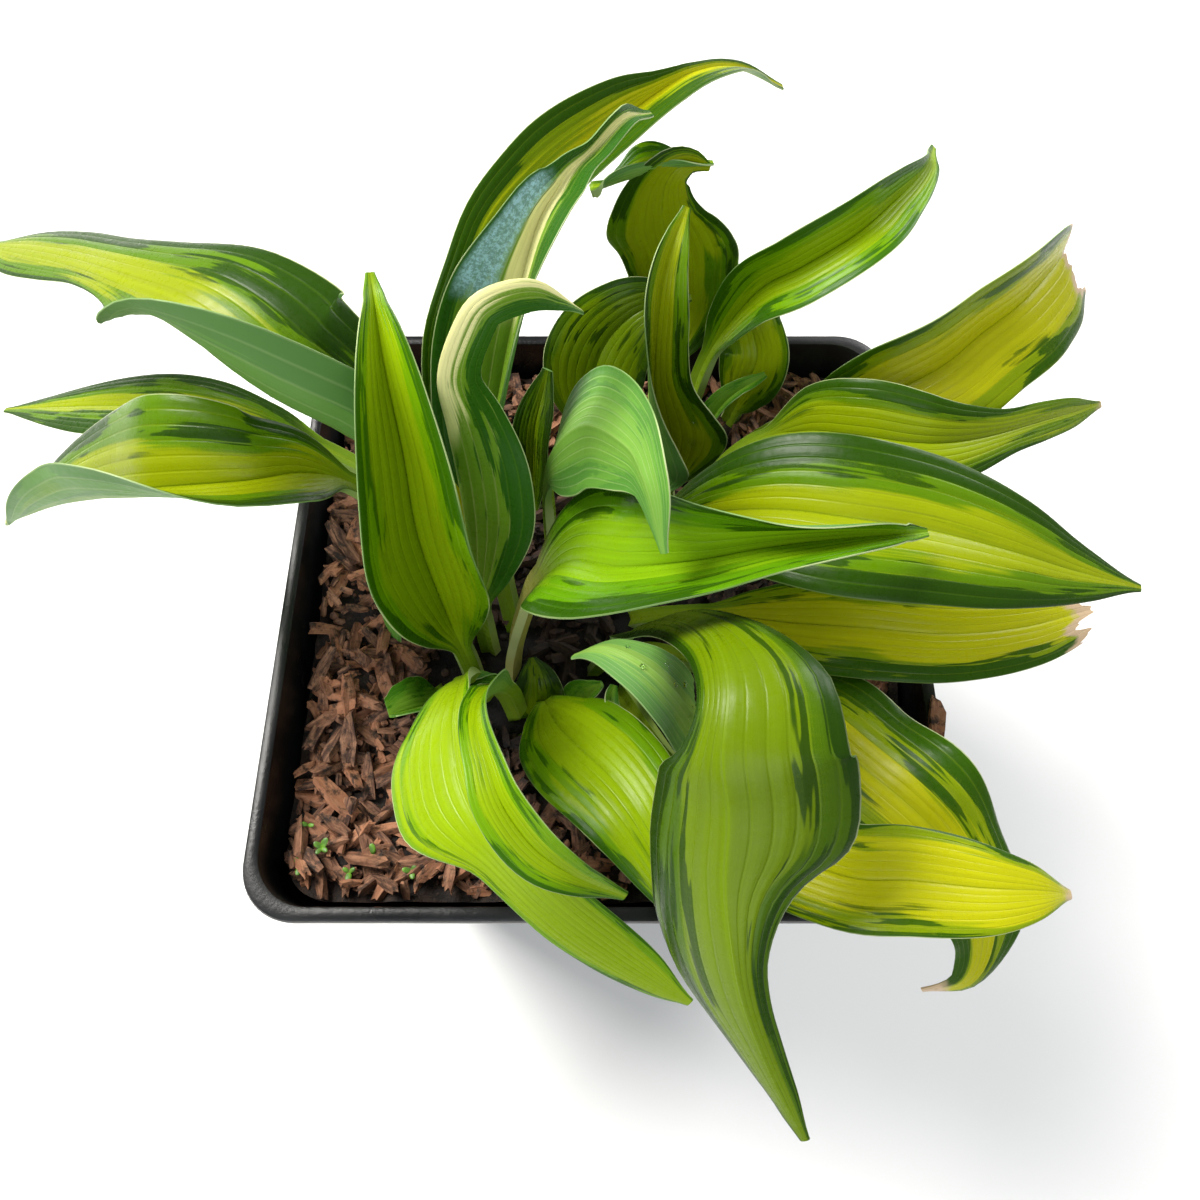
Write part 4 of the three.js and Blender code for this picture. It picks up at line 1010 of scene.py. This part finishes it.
def makeSoil(bark):
    rng = random.Random(soilPlan["seed"])
    bm = newChips()[0]
    soilBlock(bm)
    ground = len(bm.faces)
    strewChips(bm, rng)
    strewCrumbs(bm, rng)
    for index, face in enumerate(bm.faces):
        face.material_index = 0 if index < ground else 1
    piece = newPiece("bark_soil", bm, (compostMaterial(), bark))
    shadeSmooth(piece.data, 42)
    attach(piece, "root")
    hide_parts("soil")


bark = barkMaterial()
makeSoil(bark)
print("soil made")


# A loose chip on the rim and tiny seedlings in the soil: places in millimetres, number of leaves
strayPlan = dict(seed=5, chip=(59.0, -25.5, 106.0), chipSize=(6.5, 2.8, 1.6), chipTurn=1.45, chipTilt=0.1,
                 leafLength=0.8, stem=1.4, stemHalf=(0.2, 0.15),
                 seedlings=[(-52, -50, 3), (-49, -47, 4), (-44, -51, 3), (-52, -43, 2), (-33, -51, 3),
                            (-40, -48, 2)])


def makeRimChip(rng):
    s = strayPlan
    bm, grain, ownMap = newChips()
    turn = Matrix.Rotation(s["chipTurn"], 3, "Z") @ Matrix.Rotation(s["chipTilt"], 3, "Y")
    addChip(bm, grain, ownMap, rng, Vector(s["chip"]), Vector(s["chipSize"]), turn, inside=False)
    chip = newPiece("rim_chip", bm, (bark,))
    shadeSmooth(chip.data, 42)
    return chip


def seedlingMaterial():
    material, tree = newMaterial("seedling")
    tone = ramp(tree, noiseAt(tree, objectPlace(tree), 700.0), 0.35, 0.65)
    colour = mixColour(tree, tone, (0.05, 0.13, 0.008), (0.11, 0.26, 0.015))
    finishMaterial(tree, addSurface(tree, colour, 0.45))
    return material


def makeSeedlings(rng):
    s = strayPlan
    bm = bmesh.new()
    for x, y, leaves in s["seedlings"]:
        ground = soilPlan["top"] + soilHeight(x, y) + 0.6
        stem = Matrix.Translation(Vector((x, y, ground + s["stem"] / 2)) * mm)
        bmesh.ops.create_cone(bm, cap_ends=True, segments=8, radius1=s["stemHalf"][0] * mm,
                              radius2=s["stemHalf"][1] * mm, depth=s["stem"] * mm, matrix=stem)
        top = Matrix.Translation(Vector((x, y, ground + s["stem"])) * mm)
        first = rng.uniform(0, 3)
        for k in range(leaves):
            length = s["leafLength"] * rng.uniform(0.8, 1.3)
            spin = Matrix.Rotation(first + 2 * math.pi * k / leaves, 4, "Z") @ Matrix.Rotation(-0.35, 4, "Y")
            out = Matrix.Translation(Vector((length * 0.95, 0, 0)) * mm)
            flat = Matrix.Diagonal((length, length * 0.6, 0.14, 1))
            bmesh.ops.create_icosphere(bm, subdivisions=2, radius=mm, matrix=top @ spin @ out @ flat)
    weeds = newPiece("seedlings", bm, (seedlingMaterial(),))
    shadeSmooth(weeds.data)
    return weeds


strayRandom = random.Random(strayPlan["seed"])
for piece, slot in ((makeRimChip(strayRandom), "bark_soil"), (makeSeedlings(strayRandom), "leaf_green")):
    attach(piece, "root")
print("strays made")


# Floor, light and camera. A light has its place, size, power and colour.
stagePlan = dict(floor=3.0, floorColour=(0.82, 0.82, 0.81, 1.0), sky=0.38, skyColour=(0.97, 0.98, 1.0, 1.0),
                 aim=(0, 0, 0.1), cameraAt=(-0.0004, -0.07441, 0.26396), cameraTilt=24.3, lens=27.9)
lights = {
    "key": ((-0.55, 0.35, 0.85), 0.5, 20.0, (1.0, 0.97, 0.92)),
    "fill": ((-0.15, -0.9, 0.75), 0.9, 7.0, (0.93, 0.97, 1.0)),
    "back": ((0.55, 0.65, 0.55), 0.5, 6.0, (1.0, 1.0, 1.0)),
}


def makeFloor():
    material, tree = newMaterial("pale_floor")
    finishMaterial(tree, addSurface(tree, stagePlan["floorColour"], 0.8))
    bm = bmesh.new()
    bmesh.ops.create_grid(bm, x_segments=1, y_segments=1, size=stagePlan["floor"])
    newPiece("floor", bm, (material,))


def addLight(name, place, size, power, colour):
    light = bpy.data.lights.new(name, "AREA")
    light.size, light.energy, light.color = size, power, colour
    lamp = bpy.data.objects.new(name, light)
    lamp.location = place
    lamp.rotation_euler = (Vector(stagePlan["aim"]) - Vector(place)).to_track_quat("-Z", "Y").to_euler()
    bpy.context.scene.collection.objects.link(lamp)


def makeSky():
    world = bpy.data.worlds.new("studio")
    world.use_nodes = True
    background = world.node_tree.nodes["Background"]
    background.inputs[0].default_value = stagePlan["skyColour"]
    background.inputs[1].default_value = stagePlan["sky"]
    bpy.context.scene.world = world


def addCamera():
    camera = bpy.data.objects.new("camera", bpy.data.cameras.new("camera"))
    camera.data.sensor_width, camera.data.lens, camera.data.clip_start = 36.0, stagePlan["lens"], 0.01
    camera.location = stagePlan["cameraAt"]
    camera.rotation_euler = (math.radians(stagePlan["cameraTilt"]), 0, 0)
    bpy.context.scene.collection.objects.link(camera)
    bpy.context.scene.camera = camera


makeFloor()
for name, (place, size, power, colour) in lights.items():
    addLight(name, place, size, power, colour)
makeSky()
addCamera()
bpy.context.scene.view_settings.view_transform = "Standard"
print("stage made")
